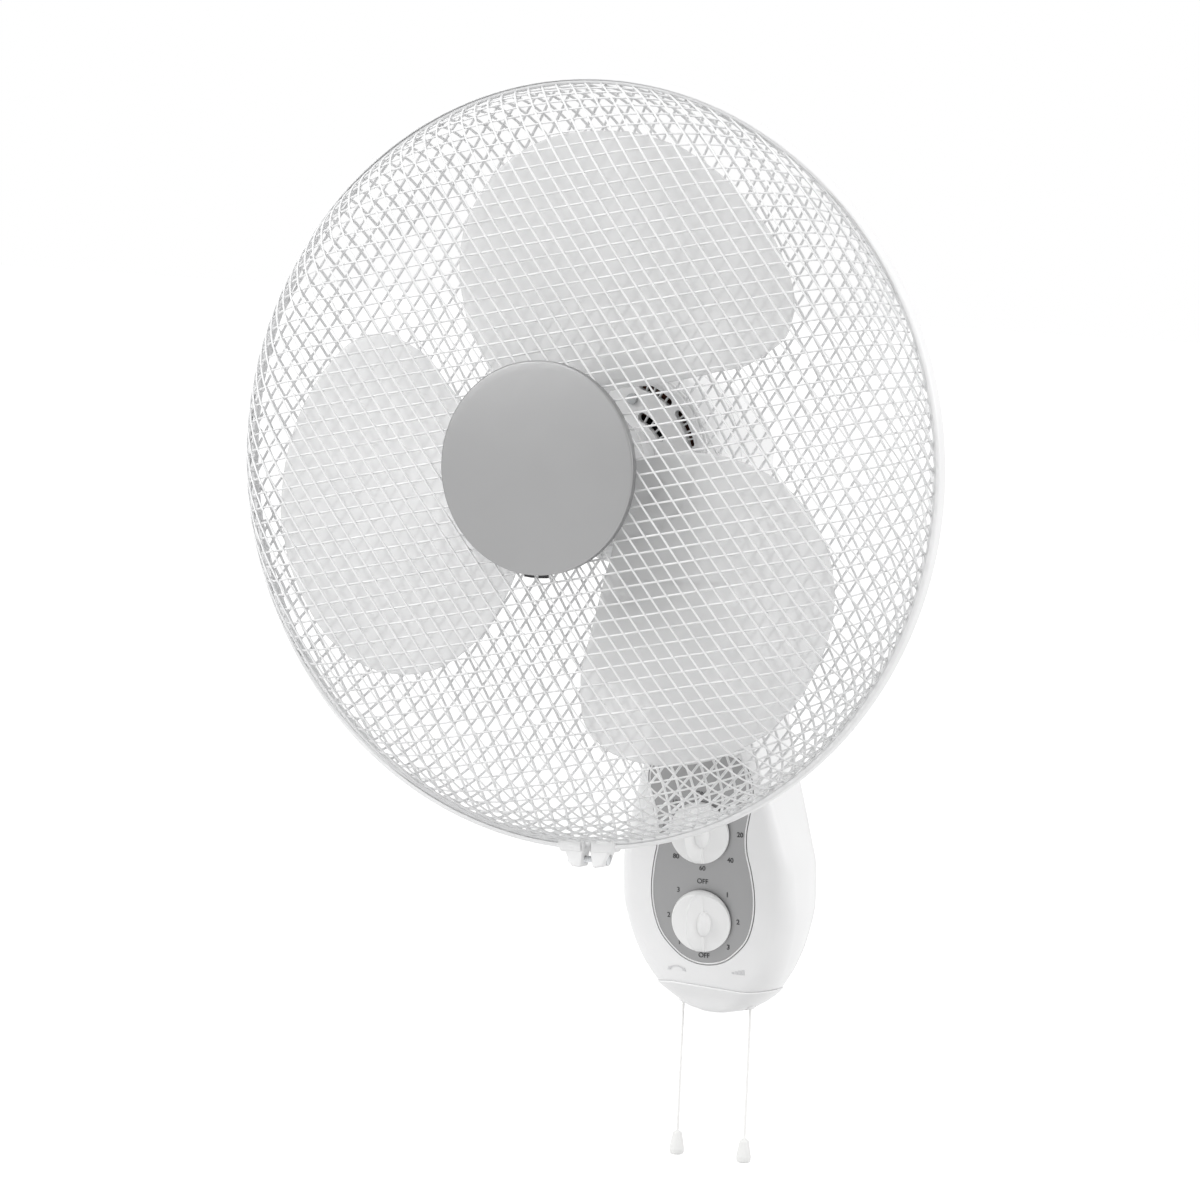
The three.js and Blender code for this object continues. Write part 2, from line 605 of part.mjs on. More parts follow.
piece('drive_pin', rod(PIN_R, 'x', -HUB_BOSS_R, HUB_BOSS_R, [0, pinDepth, 0], 12), STEEL, head);

// ---- Motor ----------------------------------------------------------------------------------
const plateFront = REAR_FLAT + CAGE_THICK / 2 + GAP;
const coverFace = plateFront + PLATE_THICK + GAP;
const shaftHole = SHAFT_R + 0.5;
const SCREW_AT = 35.7;
const SCREW_FIRST = 82;

// Arc-shaped vent cutters, ring sectors through the y range
function ventSlots({ count, inner, outer, sweep }, from, to) {
  return Array.from({ length: count }, (_, i) => {
    const start = rad((360 / count) * i - sweep / 2 + 90);
    const end = start + rad(sweep);
    const shape = new THREE.Shape();
    shape.absarc(0, 0, outer, start, end, false);
    shape.absarc(0, 0, inner, end, start, true);
    const g = new THREE.ExtrudeGeometry(shape, { depth: to - from, bevelEnabled: false, curveSegments: 1 });
    return g.rotateX(Math.PI / 2).translate(0, to, 0);
  });
}

const coverScrewPlaces = [0, 1, 2].map((i) => {
  const angle = rad(SCREW_FIRST + 120 * i);
  return [SCREW_AT * Math.cos(angle), 0, SCREW_AT * Math.sin(angle)];
});
const screwHoles = (from, to) => coverScrewPlaces.map((at) => rod(SCREW_R + GAP, 'y', from, to, at, 10));

piece('grille_plate', cut(
  ringTurned([[COVER_NOSE_R + GAP, plateFront], [PLATE_R, plateFront],
    [PLATE_R, plateFront + PLATE_THICK], [COVER_NOSE_R + GAP, plateFront + PLATE_THICK]], 24),
  ...ventSlots(OUTER_SLOTS, plateFront - 2, plateFront + 5),
  ...ventSlots(INNER_SLOTS, plateFront - 2, plateFront + 5),
  ...screwHoles(plateFront - 2, plateFront + 5),
), WHITE, head);
piece('grille_lock_nut', ringTurned([
  [COVER_NOSE_R + GAP, plateFront - GAP - NUT_DEPTH], [NUT_R - 4, plateFront - GAP - NUT_DEPTH],
  [NUT_R, plateFront - GAP - NUT_DEPTH * 0.6], [NUT_R, plateFront - GAP],
  [COVER_NOSE_R + GAP, plateFront - GAP],
], 20), WHITE, head);

const BEARING_SEAT = BEARING_R + GAP;
const SEAT_WALL = 3;
const coverInside = coverFace + HOUSING_WALL;
const FLANGE_THICK = 3;
const statorSeat = STATOR_R + GAP;
function frontCover() {
  const inner = COVER_R - HOUSING_WALL;
  const split = HOUSING_SPLIT - GAP;
  const shell = ringTurned([
    [shaftHole, COVER_NOSE_FRONT], [COVER_NOSE_R, COVER_NOSE_FRONT], [COVER_NOSE_R, coverFace],
    [COVER_R - 6, coverFace], [COVER_R, coverFace + 6], [COVER_R, split], [inner, split],
    [inner, STATOR_FRONT + FLANGE_THICK], [statorSeat, STATOR_FRONT + FLANGE_THICK],
    [statorSeat, STATOR_FRONT], [inner, STATOR_FRONT], [inner, coverInside + 5],
    [inner - 5, coverInside], [BEARING_SEAT + SEAT_WALL, coverInside],
    [BEARING_SEAT + SEAT_WALL, FRONT_BEARING + BEARING_WIDTH],
    [BEARING_SEAT, FRONT_BEARING + BEARING_WIDTH], [BEARING_SEAT, FRONT_BEARING],
    [shaftHole, FRONT_BEARING],
  ], 24);
  return cut(shell, ...ventSlots(OUTER_SLOTS, coverFace - 2, coverInside + 2),
    ...ventSlots(INNER_SLOTS, coverFace - 2, coverInside + 2),
    ...screwHoles(coverFace - 2, coverInside + 2));
}
piece('motor_front_cover', frontCover(), WHITE, head);
coverScrewPlaces.forEach((at, i) => piece(`cover_screw_${i + 1}`, join(
  rod(SCREW_HEAD_R, 'y', plateFront - GAP - 1.8, plateFront - GAP, at, 12),
  rod(SCREW_R, 'y', plateFront - 1, coverInside + 3, at, 10),
), STEEL, head));

const BEARING_SIDES = 16;
function bearing(name, from) {
  const bore = (SHAFT_R + RUN_GAP) / Math.cos(Math.PI / BEARING_SIDES); // clear of the shaft's corners
  piece(name, ringTurned([
    [bore, from], [BEARING_R, from], [BEARING_R, from + BEARING_WIDTH],
    [bore, from + BEARING_WIDTH]], BEARING_SIDES), STEEL, head);
}
bearing('front_bearing', FRONT_BEARING + GAP);
bearing('rear_bearing', BRACKET_FACE + BRACKET_THICK + GAP);
piece('stator', ringTurned([
  [STATOR_BORE, STATOR_FRONT], [STATOR_BORE + 2, STATOR_FRONT - COIL_LENGTH],
  [COIL_R, STATOR_FRONT - COIL_LENGTH], [COIL_R, STATOR_FRONT], [STATOR_R, STATOR_FRONT],
  [STATOR_R, STATOR_BACK], [COIL_R, STATOR_BACK], [COIL_R, STATOR_BACK + COIL_LENGTH],
  [STATOR_BORE + 2, STATOR_BACK + COIL_LENGTH], [STATOR_BORE, STATOR_BACK]], 24), COPPER, head);
piece('rotor', ringTurned([[SHAFT_R + RUN_GAP, STATOR_FRONT], [ROTOR_R, STATOR_FRONT],
  [ROTOR_R, STATOR_BACK], [SHAFT_R + RUN_GAP, STATOR_BACK]], 24), DARK_STEEL, head);

const housingInner = (y) => along(HOUSING_PROFILE.map(([r, d]) => [d, r]), y) - HOUSING_WALL;
const bracketR = housingInner(BRACKET_FACE + BRACKET_THICK) - GAP;
const BRACKET_CUT = 28; // the bracket ends this far below the axis, above the swing post
piece('rear_bracket', cut(ringTurned([
  [shaftHole, BRACKET_FACE], [bracketR, BRACKET_FACE], [bracketR, BRACKET_FACE + BRACKET_THICK],
  [BEARING_SEAT + SEAT_WALL, BRACKET_FACE + BRACKET_THICK],
  [BEARING_SEAT + SEAT_WALL, BRACKET_FACE + BRACKET_THICK + BEARING_WIDTH],
  [BEARING_SEAT, BRACKET_FACE + BRACKET_THICK + BEARING_WIDTH],
  [BEARING_SEAT, BRACKET_FACE + BRACKET_THICK], [shaftHole, BRACKET_FACE + BRACKET_THICK]], 20),
block(bracketR * 2, BRACKET_THICK * 4, bracketR, 0, BRACKET_FACE, -BRACKET_CUT - bracketR / 2)),
STEEL, head);
const CAPACITOR = [32, 15, 13];
piece('capacitor', block(...CAPACITOR, 0, BRACKET_FACE + BRACKET_THICK + GAP + CAPACITOR[1] / 2,
  BEARING_SEAT + SEAT_WALL + GAP + CAPACITOR[2] / 2), BLACK, head);

const pivotDepth = PIVOT_Y - RING_Y;
const skirtLow = SKIRT_BOTTOM - AXIS_Z;
const skirtHigh = -housingInner(pivotDepth + SKIRT_R) + HOUSING_WALL;
function rearHousing() {
  const outer = turned([[0, HOUSING_SPLIT], ...HOUSING_PROFILE], 24);
  const innerProfile = HOUSING_PROFILE.map(([r, y]) => [
    Math.max(r - HOUSING_WALL, 0), y === HOUSING_SPLIT ? y - 1 : y - HOUSING_WALL * (1 - r / COVER_R)]);
  const inner = turned([[0, HOUSING_SPLIT - 1], ...innerProfile], 24);
  const at = [0, pivotDepth, 0];
  const skirt = rod(SKIRT_R, 'z', skirtLow, skirtHigh, at, 24);
  const bore = rod(SKIRT_R - SKIRT_WALL, 'z', skirtLow - 1, skirtHigh - 1, at, 24);
  return cut(join(outer, skirt), inner, bore);
}
piece('motor_rear_housing', rearHousing(), WHITE, head);

// ---- Swing joint: post on the neck, carrier and crank drive in the head ----------------------
const swing = new THREE.Group();
swing.position.set(0, PIVOT_Y, 0);
fan.add(swing);
const crankAt = [0, CRANK_OFFSET, 0];
const CRANK_SHAFT_R = 3;
const CARRIER_BOSS_R = 8.4;
const BOSS_TOP = POST_TOP - 4;
const carrierTop = CARRIER_Z + CARRIER_THICK;
piece('swing_carrier', cut(
  join(rod(SKIRT_R - SKIRT_WALL - GAP, 'z', CARRIER_Z, carrierTop, [0, 0, 0], 24),
    rod(CARRIER_BOSS_R, 'z', carrierTop - 1, BOSS_TOP, [0, 0, 0], 24)),
  rod(POST_R + RUN_GAP, 'z', CARRIER_Z - 1, BOSS_TOP + 1, [0, 0, 0], 24),
  rod(CRANK_SHAFT_R + GAP, 'z', CARRIER_Z - 1, carrierTop + 1, crankAt, 16),
), DARK_STEEL, swing);
piece('swing_post', rod(POST_R, 'z', TILT_Z + BOLT_R * 2.5, POST_TOP, [0, 0, 0], 24), STEEL, swing);
piece('post_clip', cut(rod(POST_R + 3, 'z', BOSS_TOP + GAP, BOSS_TOP + GAP + 2, [0, 0, 0], 20),
  rod(POST_R + RUN_GAP, 'z', BOSS_TOP, BOSS_TOP + 5, [0, 0, 0], 24)), STEEL, swing);
piece('swing_motor', cut(
  rod(SWING_MOTOR_R, 'z', carrierTop + GAP, carrierTop + GAP + SWING_MOTOR_DEPTH, crankAt, 24),
  rod(CRANK_SHAFT_R + GAP, 'z', carrierTop - 1, carrierTop + SWING_MOTOR_DEPTH / 2, crankAt, 16),
), DARK_STEEL, swing);

// Crank and link at rest: the crank points to the right, the link runs forward to the fixed pin
const pinAt = [CRANK_THROW, CRANK_OFFSET, 0];
const anchorAt = [CRANK_THROW, 0, 0];
const crankLow = LINK_Z + LINK_THICK + GAP;
function armBar(length, width, low, thick, endR) {
  return join(block(length, width, thick, length / 2, 0, low + thick / 2),
    rod(endR, 'z', low, low + thick, [0, 0, 0], 16), rod(endR, 'z', low, low + thick, [length, 0, 0], 16));
}
piece('swing_crank', join(
  surface(armBar(CRANK_THROW, CRANK_END_R * 1.7, crankLow, CRANK_THICK, CRANK_END_R)).translate(...crankAt),
  rod(CRANK_SHAFT_R, 'z', crankLow, carrierTop + SWING_MOTOR_DEPTH / 2 - 1, crankAt, 16),
  rod(CRANK_PIN_R, 'z', LINK_Z, crankLow + 0.5, pinAt, 16),
), STEEL, swing);
const linkEyes = [0, CRANK_OFFSET].map((at) =>
  rod(CRANK_PIN_R + GAP, 'z', LINK_Z - 1, LINK_Z + LINK_THICK + 1, [at, 0, 0], 16));
piece('swing_link', surface(cut(armBar(CRANK_OFFSET, LINK_WIDTH, LINK_Z, LINK_THICK, LINK_EYE_R), ...linkEyes))
  .rotateZ(-Math.PI / 2).translate(...pinAt), STEEL, swing);

// ---- Neck: tilt barrel, column and flange ----------------------------------------------------
piece('neck', cut(
  join(rod(BARREL_R, 'x', -BARREL_HALF, BARREL_HALF, [0, 0, TILT_Z], 24),
    rod(NECK_COLUMN_R, 'z', TILT_Z, NECK_TOP - NECK_FLANGE + 1, [0, 0, 0], 24),
    rod(NECK_FLANGE_R, 'z', NECK_TOP - NECK_FLANGE, NECK_TOP, [0, 0, 0], 24),
    rod(CRANK_PIN_R, 'z', NECK_TOP - 1, LINK_Z + LINK_THICK, anchorAt, 16)),
  rod(BOLT_R + RUN_GAP, 'x', -EAR_HALF, EAR_HALF, [0, 0, TILT_Z], 24),
  rod(POST_R + RUN_GAP, 'z', TILT_Z + BOLT_R * 2.5 - GAP, NECK_TOP + 1, [0, 0, 0], 24),
), WHITE, swing);

// ---- Base ------------------------------------------------------------------------------------
const lean = rad(PANEL_LEAN);
const backFace = -PLATE_BACK_THICK - GAP;
const panelY = (z) => SPEED_FACE_Y - Math.tan(lean) * (z - SPEED_Z);

function frontY(z) {
  const plane = panelY(z) + along(CHIN_FRONT, z);
  if (z <= ARM_START) return plane;
  const share = along(ARM_FRONT, (z - ARM_START) / (TILT_Z - ARM_START));
  return plane + (PIVOT_Y - EAR_R - plane) * share;
}

function backY(z) {
  if (z <= PLATE_HIGH) return backFace + along(CHIN_BACK, z);
  const share = along(ARM_BACK, (z - PLATE_HIGH) / (TILT_Z - PLATE_HIGH));
  return backFace + (PIVOT_Y + ARM_BACK_REACH - backFace) * share;
}

// Level outline at height z; an inset gives the inside of the shell, open towards the wall.
function baseRing(z, inset = 0) {
  const w = along(BASE_WIDTHS, z) - inset;
  const front = frontY(z) + inset;
  const back = inset ? GAP * 10 : backY(z);
  const room = (back - front) / 2.4;
  const shoulder = Math.min(along(SHOULDER, z) - inset * 0.5, room, w * 0.8);
  const heel = Math.min(5, room, w / 2);
  const backW = w - Math.min(5, w / 3);
  const right = [
    [backW - heel, back], [backW - heel * 0.3, back - heel * 0.3], [backW, back - heel],
    [w, back + (front - back) * 0.5],
    ...[0, 45, 90].map((a) => [
      w - 1 - shoulder * (1 - Math.cos(rad(a))), front + shoulder * (1 - Math.sin(rad(a)))]),
  ];
  const left = right.slice().reverse().map(([x, y]) => [-x, y]);
  return [...right, ...left].map(([x, y]) => [x, y, z]);
}

// Heights where a loft is cut, from low to high with the named ends kept
function levels(low, high, step) {
  const count = Math.max(1, Math.round((high - low) / step));
  return Array.from({ length: count + 1 }, (_, i) => low + ((high - low) * i) / count);
}

// Panel frame: local y into the base, local z up along the panel, origin at the lower knob
const panel = new THREE.Group();
panel.position.set(0, SPEED_FACE_Y, SPEED_Z);
panel.rotation.x = lean;
fan.add(panel);
const toWorld = (geometry) => geometry.rotateX(lean).translate(0, SPEED_FACE_Y, SPEED_Z);

function panelOutline(margin) {
  const rows = PANEL_WIDTHS.map(([s, w], i) => {
    const end = i === 0 ? -margin : i === PANEL_WIDTHS.length - 1 ? margin : 0;
    return [w ? w + margin : 0, s + end];
  });
  const left = rows.slice(1, -1).reverse().map(([w, s]) => [-w, s]);
  return [...rows, ...left];
}

// Outline in x and z, extruded along y
function prism(outline, from, to) {
  const shape = new THREE.Shape(outline.map(([x, z]) => new THREE.Vector2(x, z)));
  const g = new THREE.ExtrudeGeometry(shape, { depth: to - from, bevelEnabled: false });
  return g.rotateX(Math.PI / 2).translate(0, to, 0);
}

const knobPlaces = [0, KNOB_SPACING];
const recess = PANEL_THICK + GAP;
const SHAFT_HOLE = KNOB_SHAFT_R + 1.5;
const BOSS_R = 4;
const bossPlaces = [[36, -36], [-36, -36]];
const topScrewZ = (HOLLOW_TOP + PLATE_HIGH) / 2;

function baseHousing() {
  const outer = loft([...levels(SEAM_Z, ARM_START, 24), ...levels(ARM_START + 6, TILT_Z, 8)]
    .map((z) => baseRing(z)));
  const inner = loft(levels(SEAM_Z - 1, HOLLOW_TOP, 27).map((z) => baseRing(z, BASE_WALL)));
  const ears = [-1, 1].map((side) => rod(EAR_R, 'x', side * (BARREL_HALF + GAP), side * EAR_HALF,
    [0, PIVOT_Y, TILT_Z], 24));
  const room = rod(BARREL_R + 3 * GAP, 'x', -BARREL_HALF - GAP, BARREL_HALF + GAP,
    [0, PIVOT_Y, TILT_Z], 24);
  const bosses = bossPlaces.map(([x, z]) => rod(BOSS_R, 'y', panelY(z) + 1, backFace, [x, 0, z], 12));
  const bossHoles = bossPlaces.map(([x, z]) => rod(SCREW_R + RUN_GAP, 'y', -20, 1, [x, 0, z], 10));
  const topHole = rod(SCREW_R + RUN_GAP, 'y', -20, 1, [0, 0, topScrewZ], 10);
  const shell = join(cut(outer, inner), ...bosses, ...ears);
  const recessCut = toWorld(prism(panelOutline(GAP), -20, recess));
  const shaftCuts = knobPlaces.map((z) => toWorld(rod(SHAFT_HOLE, 'y', -5, 9, [0, 0, z], 16)));
  const boltRoom = [-1, 1].map((side) => rod(BOLT_HEAD_R + 1, 'x', side * (EAR_HALF - BOLT_HEAD - 1),
    side * (EAR_HALF + 1), [0, PIVOT_Y, TILT_Z], 20));
  const boltHole = rod(BOLT_R + RUN_GAP, 'x', -EAR_HALF, EAR_HALF, [0, PIVOT_Y, TILT_Z], 20);
  return cut(shell, room, recessCut, ...shaftCuts, ...boltRoom, boltHole, ...bossHoles, topHole);
}
piece('base_housing', baseHousing(), WHITE);

// Tilt bolt, its head and nut in the ear recesses
const headSeat = EAR_HALF - BOLT_HEAD - 1 + GAP;
piece('tilt_bolt', join(
  rod(BOLT_R, 'x', -headSeat - 1, EAR_HALF - 0.5, [0, 0, TILT_Z], 20),
  rod(BOLT_HEAD_R, 'x', -headSeat - BOLT_HEAD, -headSeat, [0, 0, TILT_Z], 6)), STEEL, swing);
piece('tilt_nut', cut(
  rod(BOLT_HEAD_R, 'x', headSeat, headSeat + BOLT_HEAD - 1, [0, 0, TILT_Z], 6),
  rod(BOLT_R + RUN_GAP, 'x', 0, EAR_HALF, [0, 0, TILT_Z], 20)), STEEL, swing);

function chinCap() {
  const up = (share) => BASE_BOTTOM + (SEAM_Z - BASE_BOTTOM) * share;
  const outer = loft([...levels(BASE_BOTTOM, up(1 / 3), 1.5), up(5 / 9), up(7 / 9), SEAM_Z - GAP]
    .map((z) => baseRing(z)));
  const inner = loft([up(5 / 18), up(4 / 9), up(2 / 3), SEAM_Z + 1].map((z) => baseRing(z, BASE_WALL)));
  const holes = [-1, 1].map((side) => rod(GROMMET_R + GAP, 'z', BASE_BOTTOM - 5, SEAM_Z,
    [side * CORD_X, CORD_Y, 0], 16));
  return cut(outer, inner, ...holes);
}
piece('chin_cap', chinCap(), WHITE);

// Back plate with two keyholes, a lower screw hole and the cable inlet
const GLAND_R = 6;
const GLAND_Z = -30;
function backPlate() {
  const heights = levels(PLATE_LOW, PLATE_HIGH, (PLATE_HIGH - PLATE_LOW) / 14);
  const right = heights.map((z) => [along(BASE_WIDTHS, z) - PLATE_INSET, z]);
  const outline = [...right, ...right.slice().reverse().map(([x, z]) => [-x, z])];
  const through = [-PLATE_BACK_THICK - KEYHOLE_PAD[1] - 1, 1];
  const pads = [-1, 1].map((side) => block(KEYHOLE_PAD[0], KEYHOLE_PAD[1] * 2, KEYHOLE_PAD[2],
    side * KEYHOLE_X, -PLATE_BACK_THICK, KEYHOLE_Z + KEYHOLE_RISE / 4));
  const keyholes = [-1, 1].flatMap((side) => [
    rod(KEYHOLE_R, 'y', ...through, [side * KEYHOLE_X, 0, KEYHOLE_Z], 20),
    block(KEYHOLE_SLOT, 8, KEYHOLE_RISE, side * KEYHOLE_X, 0, KEYHOLE_Z + KEYHOLE_RISE / 2),
  ]);
  const sunk = [...bossPlaces, [0, topScrewZ]].flatMap(([x, z]) => [
    rod(SCREW_R + GAP, 'y', ...through, [x, 0, z], 10),
    rod(SCREW_HEAD_R + GAP, 'y', -1.7, 1, [x, 0, z], 14),
  ]);
  return cut(join(prism(outline, -PLATE_BACK_THICK, 0), ...pads), ...keyholes, ...sunk,
    rod(KEYHOLE_SLOT / 2, 'y', ...through, [0, 0, LOW_SCREW_Z], 16),
    rod(GLAND_R + GAP, 'y', ...through, [0, 0, GLAND_Z], 20));
}
piece('back_plate', backPlate(), WHITE);
const plateScrews = [['plate_screw_left', ...bossPlaces[1]], ['plate_screw_right', ...bossPlaces[0]],
  ['plate_screw_top', 0, topScrewZ]];
for (const [name, x, z] of plateScrews) {
  piece(name, join(rod(SCREW_HEAD_R, 'y', -1.4, -0.2, [x, 0, z], 14),
    rod(SCREW_R, 'y', -14, -1, [x, 0, z], 10)), STEEL);
}
piece('cable_gland', turned([[0, -5], [GLAND_R + 1.5, -5], [GLAND_R + 1.5, backFace], [GLAND_R, backFace],
  [GLAND_R, -GAP], [GLAND_R - 2, -GAP], [GLAND_R - 2, -3.5], [0, -3.5]], 16).translate(0, 0, GLAND_Z),
BLACK);
piece('terminal_block', block(26, 10, 12, 0, backFace - 5, 20), BLACK);

// Control panel, knobs, shafts, timer and switches
piece('control_panel', cut(prism(panelOutline(0), 0, PANEL_THICK),
  ...knobPlaces.map((z) => rod(SHAFT_HOLE, 'y', -5, 9, [0, 0, z], 16))), SILVER, panel);

const knobBack = -2 * GAP;
const knobFront = knobBack - KNOB_DISC;
function knob() {
  const disc = turned([[0, knobBack], [KNOB_R, knobBack], [KNOB_R, knobBack - KNOB_DISC * 0.55],
    [KNOB_R - 2.2, knobFront + 0.6], [KNOB_R - 5, knobFront], [0, knobFront]], 24);
  const half = KNOB_R - 1.5;
  const row = (y, width, length) => [
    [-width / 2, y, -length], [width / 2, y, -length], [width / 2, y, length], [-width / 2, y, length]];
  const grip = loft([row(knobBack - 1, KNOB_GRIP_WIDTH, half), row(knobFront, KNOB_GRIP_WIDTH, half),
    row(knobFront - KNOB_GRIP, KNOB_GRIP_WIDTH * 0.45, half - 3)]);
  const bore = rod(KNOB_SHAFT_R + RUN_GAP, 'y', knobBack + 1, knobBack - KNOB_DISC + 1.5, [0, 0, 0], 16);
  return surface(cut(join(disc, grip), bore));
}
const shaftTip = knobBack - KNOB_DISC + 1.5 + GAP;
const unitFront = BASE_WALL + GAP;
const unitBore = (at) => rod(KNOB_SHAFT_R + RUN_GAP, 'y', unitFront - 1, KNOB_SHAFT + GAP, [0, 0, at], 16);
for (const [name, at] of [['speed', 0], ['timer', KNOB_SPACING]]) {
  piece(`${name}_knob`, knob(), KNOB_WHITE, panel).position.z = at;
  piece(`${name}_shaft`, rod(KNOB_SHAFT_R, 'y', shaftTip, KNOB_SHAFT, [0, 0, 0], 16), STEEL, panel)
    .position.z = at;
}
piece('timer_unit', cut(rod(TIMER_R, 'y', unitFront, unitFront + TIMER_DEPTH, [0, 0, KNOB_SPACING], 32),
  unitBore(KNOB_SPACING)), DARK_STEEL, panel);

// Pull units: a housing with a stem bore, a pull bar with its stem, cord, tassel and grommet
function pullUnit(side) {
  const [w, d, h] = PULL_UNIT;
  const inner = SWITCH_SIZE[0] / 2 + (side < 0 ? GAP : -1);
  const outer = SWITCH_SIZE[0] / 2 + w;
  const body = block(outer - inner, d, h, (side * (outer + inner)) / 2, CORD_Y, PULL_UNIT_LOW + h / 2);
  const bore = rod(PULL_STEM_R + GAP, 'z', PULL_UNIT_LOW - 1, PULL_UNIT_LOW + PULL_STEM + 1,
    [side * CORD_X, CORD_Y, 0], 12);
  return [body, bore];
}
const [speedBody, speedBore] = pullUnit(1);
const [swingBody, swingBore] = pullUnit(-1);
const switchBlock = toWorld(block(...SWITCH_SIZE, 0, unitFront + SWITCH_SIZE[1] / 2, 0));
piece('speed_switch', cut(join(switchBlock, speedBody), speedBore, toWorld(unitBore(0))), BLACK);
piece('swing_switch', cut(swingBody, swingBore), BLACK);

const barTop = PULL_UNIT_LOW - GAP;
const barLow = barTop - PULL_BAR[2];
const cordTop = barLow - GAP;
function cordTube(x) {
  const path = new THREE.LineCurve3(new THREE.Vector3(x, CORD_Y, cordTop),
    new THREE.Vector3(x, CORD_Y, CORD_BOTTOM));
  const shape = new THREE.Shape();
  for (let i = 0; i < 6; i += 1) {
    const [u, v] = [CORD_R * Math.cos((i * Math.PI) / 3), CORD_R * Math.sin((i * Math.PI) / 3)];
    if (i === 0) shape.moveTo(u, v);
    else shape.lineTo(u, v);
  }
  shape.closePath();
  return new THREE.ExtrudeGeometry(shape, { steps: 10, bevelEnabled: false, extrudePath: path });
}

function tassel() {
  const [top, r] = [CORD_BOTTOM - GAP, TASSEL_R];
  const outline = [[0, 0], [r * 0.35, 0], [r * 0.45, 0.18], [r * 0.62, 0.38], [r * 0.82, 0.6],
    [r, 0.84], [r * 0.9, 0.97], [0, 1]];
  return turned(outline.map(([radius, drop]) => [radius, -drop * TASSEL_LENGTH]), 14)
    .rotateX(Math.PI / 2).translate(0, 0, top);
}

for (const [name, x] of [['swing', -CORD_X], ['speed', CORD_X]]) {
  piece(`${name}_pull_bar`, join(
    block(...PULL_BAR, x, CORD_Y, (barTop + barLow) / 2),
    rod(PULL_STEM_R, 'z', barTop - 1, PULL_UNIT_LOW + PULL_STEM, [x, CORD_Y, 0], 12)), STEEL);
  piece(`${name}_cord`, cordTube(x), CORD_WHITE);
  piece(`${name}_tassel`, tassel().translate(x, CORD_Y, 0), CORD_WHITE);
  const low = BASE_BOTTOM + 1.5;
  piece(`${name}_grommet`, cut(rod(GROMMET_R, 'z', low, low + GROMMET_HEIGHT, [x, CORD_Y, 0], 16),
    rod(GROMMET_BORE, 'z', low - 1, low + GROMMET_HEIGHT + 1, [x, CORD_Y, 0], 12)), WHITE);
}

export default fan;
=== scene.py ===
# Wall fan: white wire cage and grey-white blades on a tear-drop wall base with two knobs
# and two pull cords. Sizes are in millimetres and become metres when a piece is made.
import math
import bpy
import bmesh
import numpy as np
from mathutils import Matrix, Vector


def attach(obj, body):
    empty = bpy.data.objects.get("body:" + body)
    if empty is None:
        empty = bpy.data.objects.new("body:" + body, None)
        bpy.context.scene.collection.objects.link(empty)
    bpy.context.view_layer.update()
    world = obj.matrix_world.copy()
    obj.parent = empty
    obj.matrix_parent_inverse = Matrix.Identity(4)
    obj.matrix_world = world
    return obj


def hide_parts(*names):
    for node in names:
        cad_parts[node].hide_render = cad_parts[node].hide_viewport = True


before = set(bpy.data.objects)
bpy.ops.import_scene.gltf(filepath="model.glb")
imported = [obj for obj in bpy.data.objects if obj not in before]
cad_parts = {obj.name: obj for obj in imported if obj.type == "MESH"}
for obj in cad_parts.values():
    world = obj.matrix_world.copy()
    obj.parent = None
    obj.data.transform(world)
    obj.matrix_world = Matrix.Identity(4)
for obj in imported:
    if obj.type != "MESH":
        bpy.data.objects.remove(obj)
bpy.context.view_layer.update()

MM = 0.001  # one millimetre in metres
ADD, CUT = "UNION", "DIFFERENCE"
STAND = Matrix.Rotation(math.pi / 2, 4, "X")  # sets a lathed shape upright, its y running up
scene = bpy.context.scene
scene.view_settings.view_transform = "Standard"

# ---- Places shared with the solids -------------------------------------------
AXIS_Z, RING_Y, PIVOT_Y, TILT_Z = 240.0, -232.0, -111.0, 130.0
SHAFT_HOLE_R, BOLT_R = 4.5, 4.06
LEAN = math.radians(8.5)
SPEED_Z, SPEED_Y, SPACING = -36.8, -51.4, 53.6
CORD_X, CORD_Y = 22.0, -27.0
HEAD = Matrix.Translation((0, RING_Y, AXIS_Z))
PANEL = Matrix.Translation((0, SPEED_Y, SPEED_Z)) @ Matrix.Rotation(LEAN, 4, "X")
SWING = Matrix.Translation((0, PIVOT_Y, 0))

# ---- Camera ------------------------------------------------------------------
CAMERA_YAW, CAMERA_PITCH, CAMERA_ROLL, CAMERA_DISTANCE = 26.20, 5.02, 2.55, 3.644
CAMERA_TARGET = Vector((0.0118, -0.232, 0.16413))
def make_camera():
    yaw, pitch, roll = [math.radians(a) for a in (CAMERA_YAW, CAMERA_PITCH, CAMERA_ROLL)]
    back = Vector((math.sin(yaw) * math.cos(pitch), -math.cos(yaw) * math.cos(pitch), math.sin(pitch)))
    right = Vector((math.cos(yaw), math.sin(yaw), 0))
    up = back.cross(right)
    right, up = (math.cos(roll) * right + math.sin(roll) * up,
                 -math.sin(roll) * right + math.cos(roll) * up)
    data = bpy.data.cameras.new("photo_camera")
    data.sensor_width, data.lens = 36.0, 195.0
    data.clip_end = 100
    camera = bpy.data.objects.new("photo_camera", data)
    scene.collection.objects.link(camera)
    axes = Matrix((right, up, back)).transposed()
    camera.matrix_world = Matrix.Translation(CAMERA_TARGET + back * CAMERA_DISTANCE) @ axes.to_4x4()
    scene.camera = camera
make_camera()

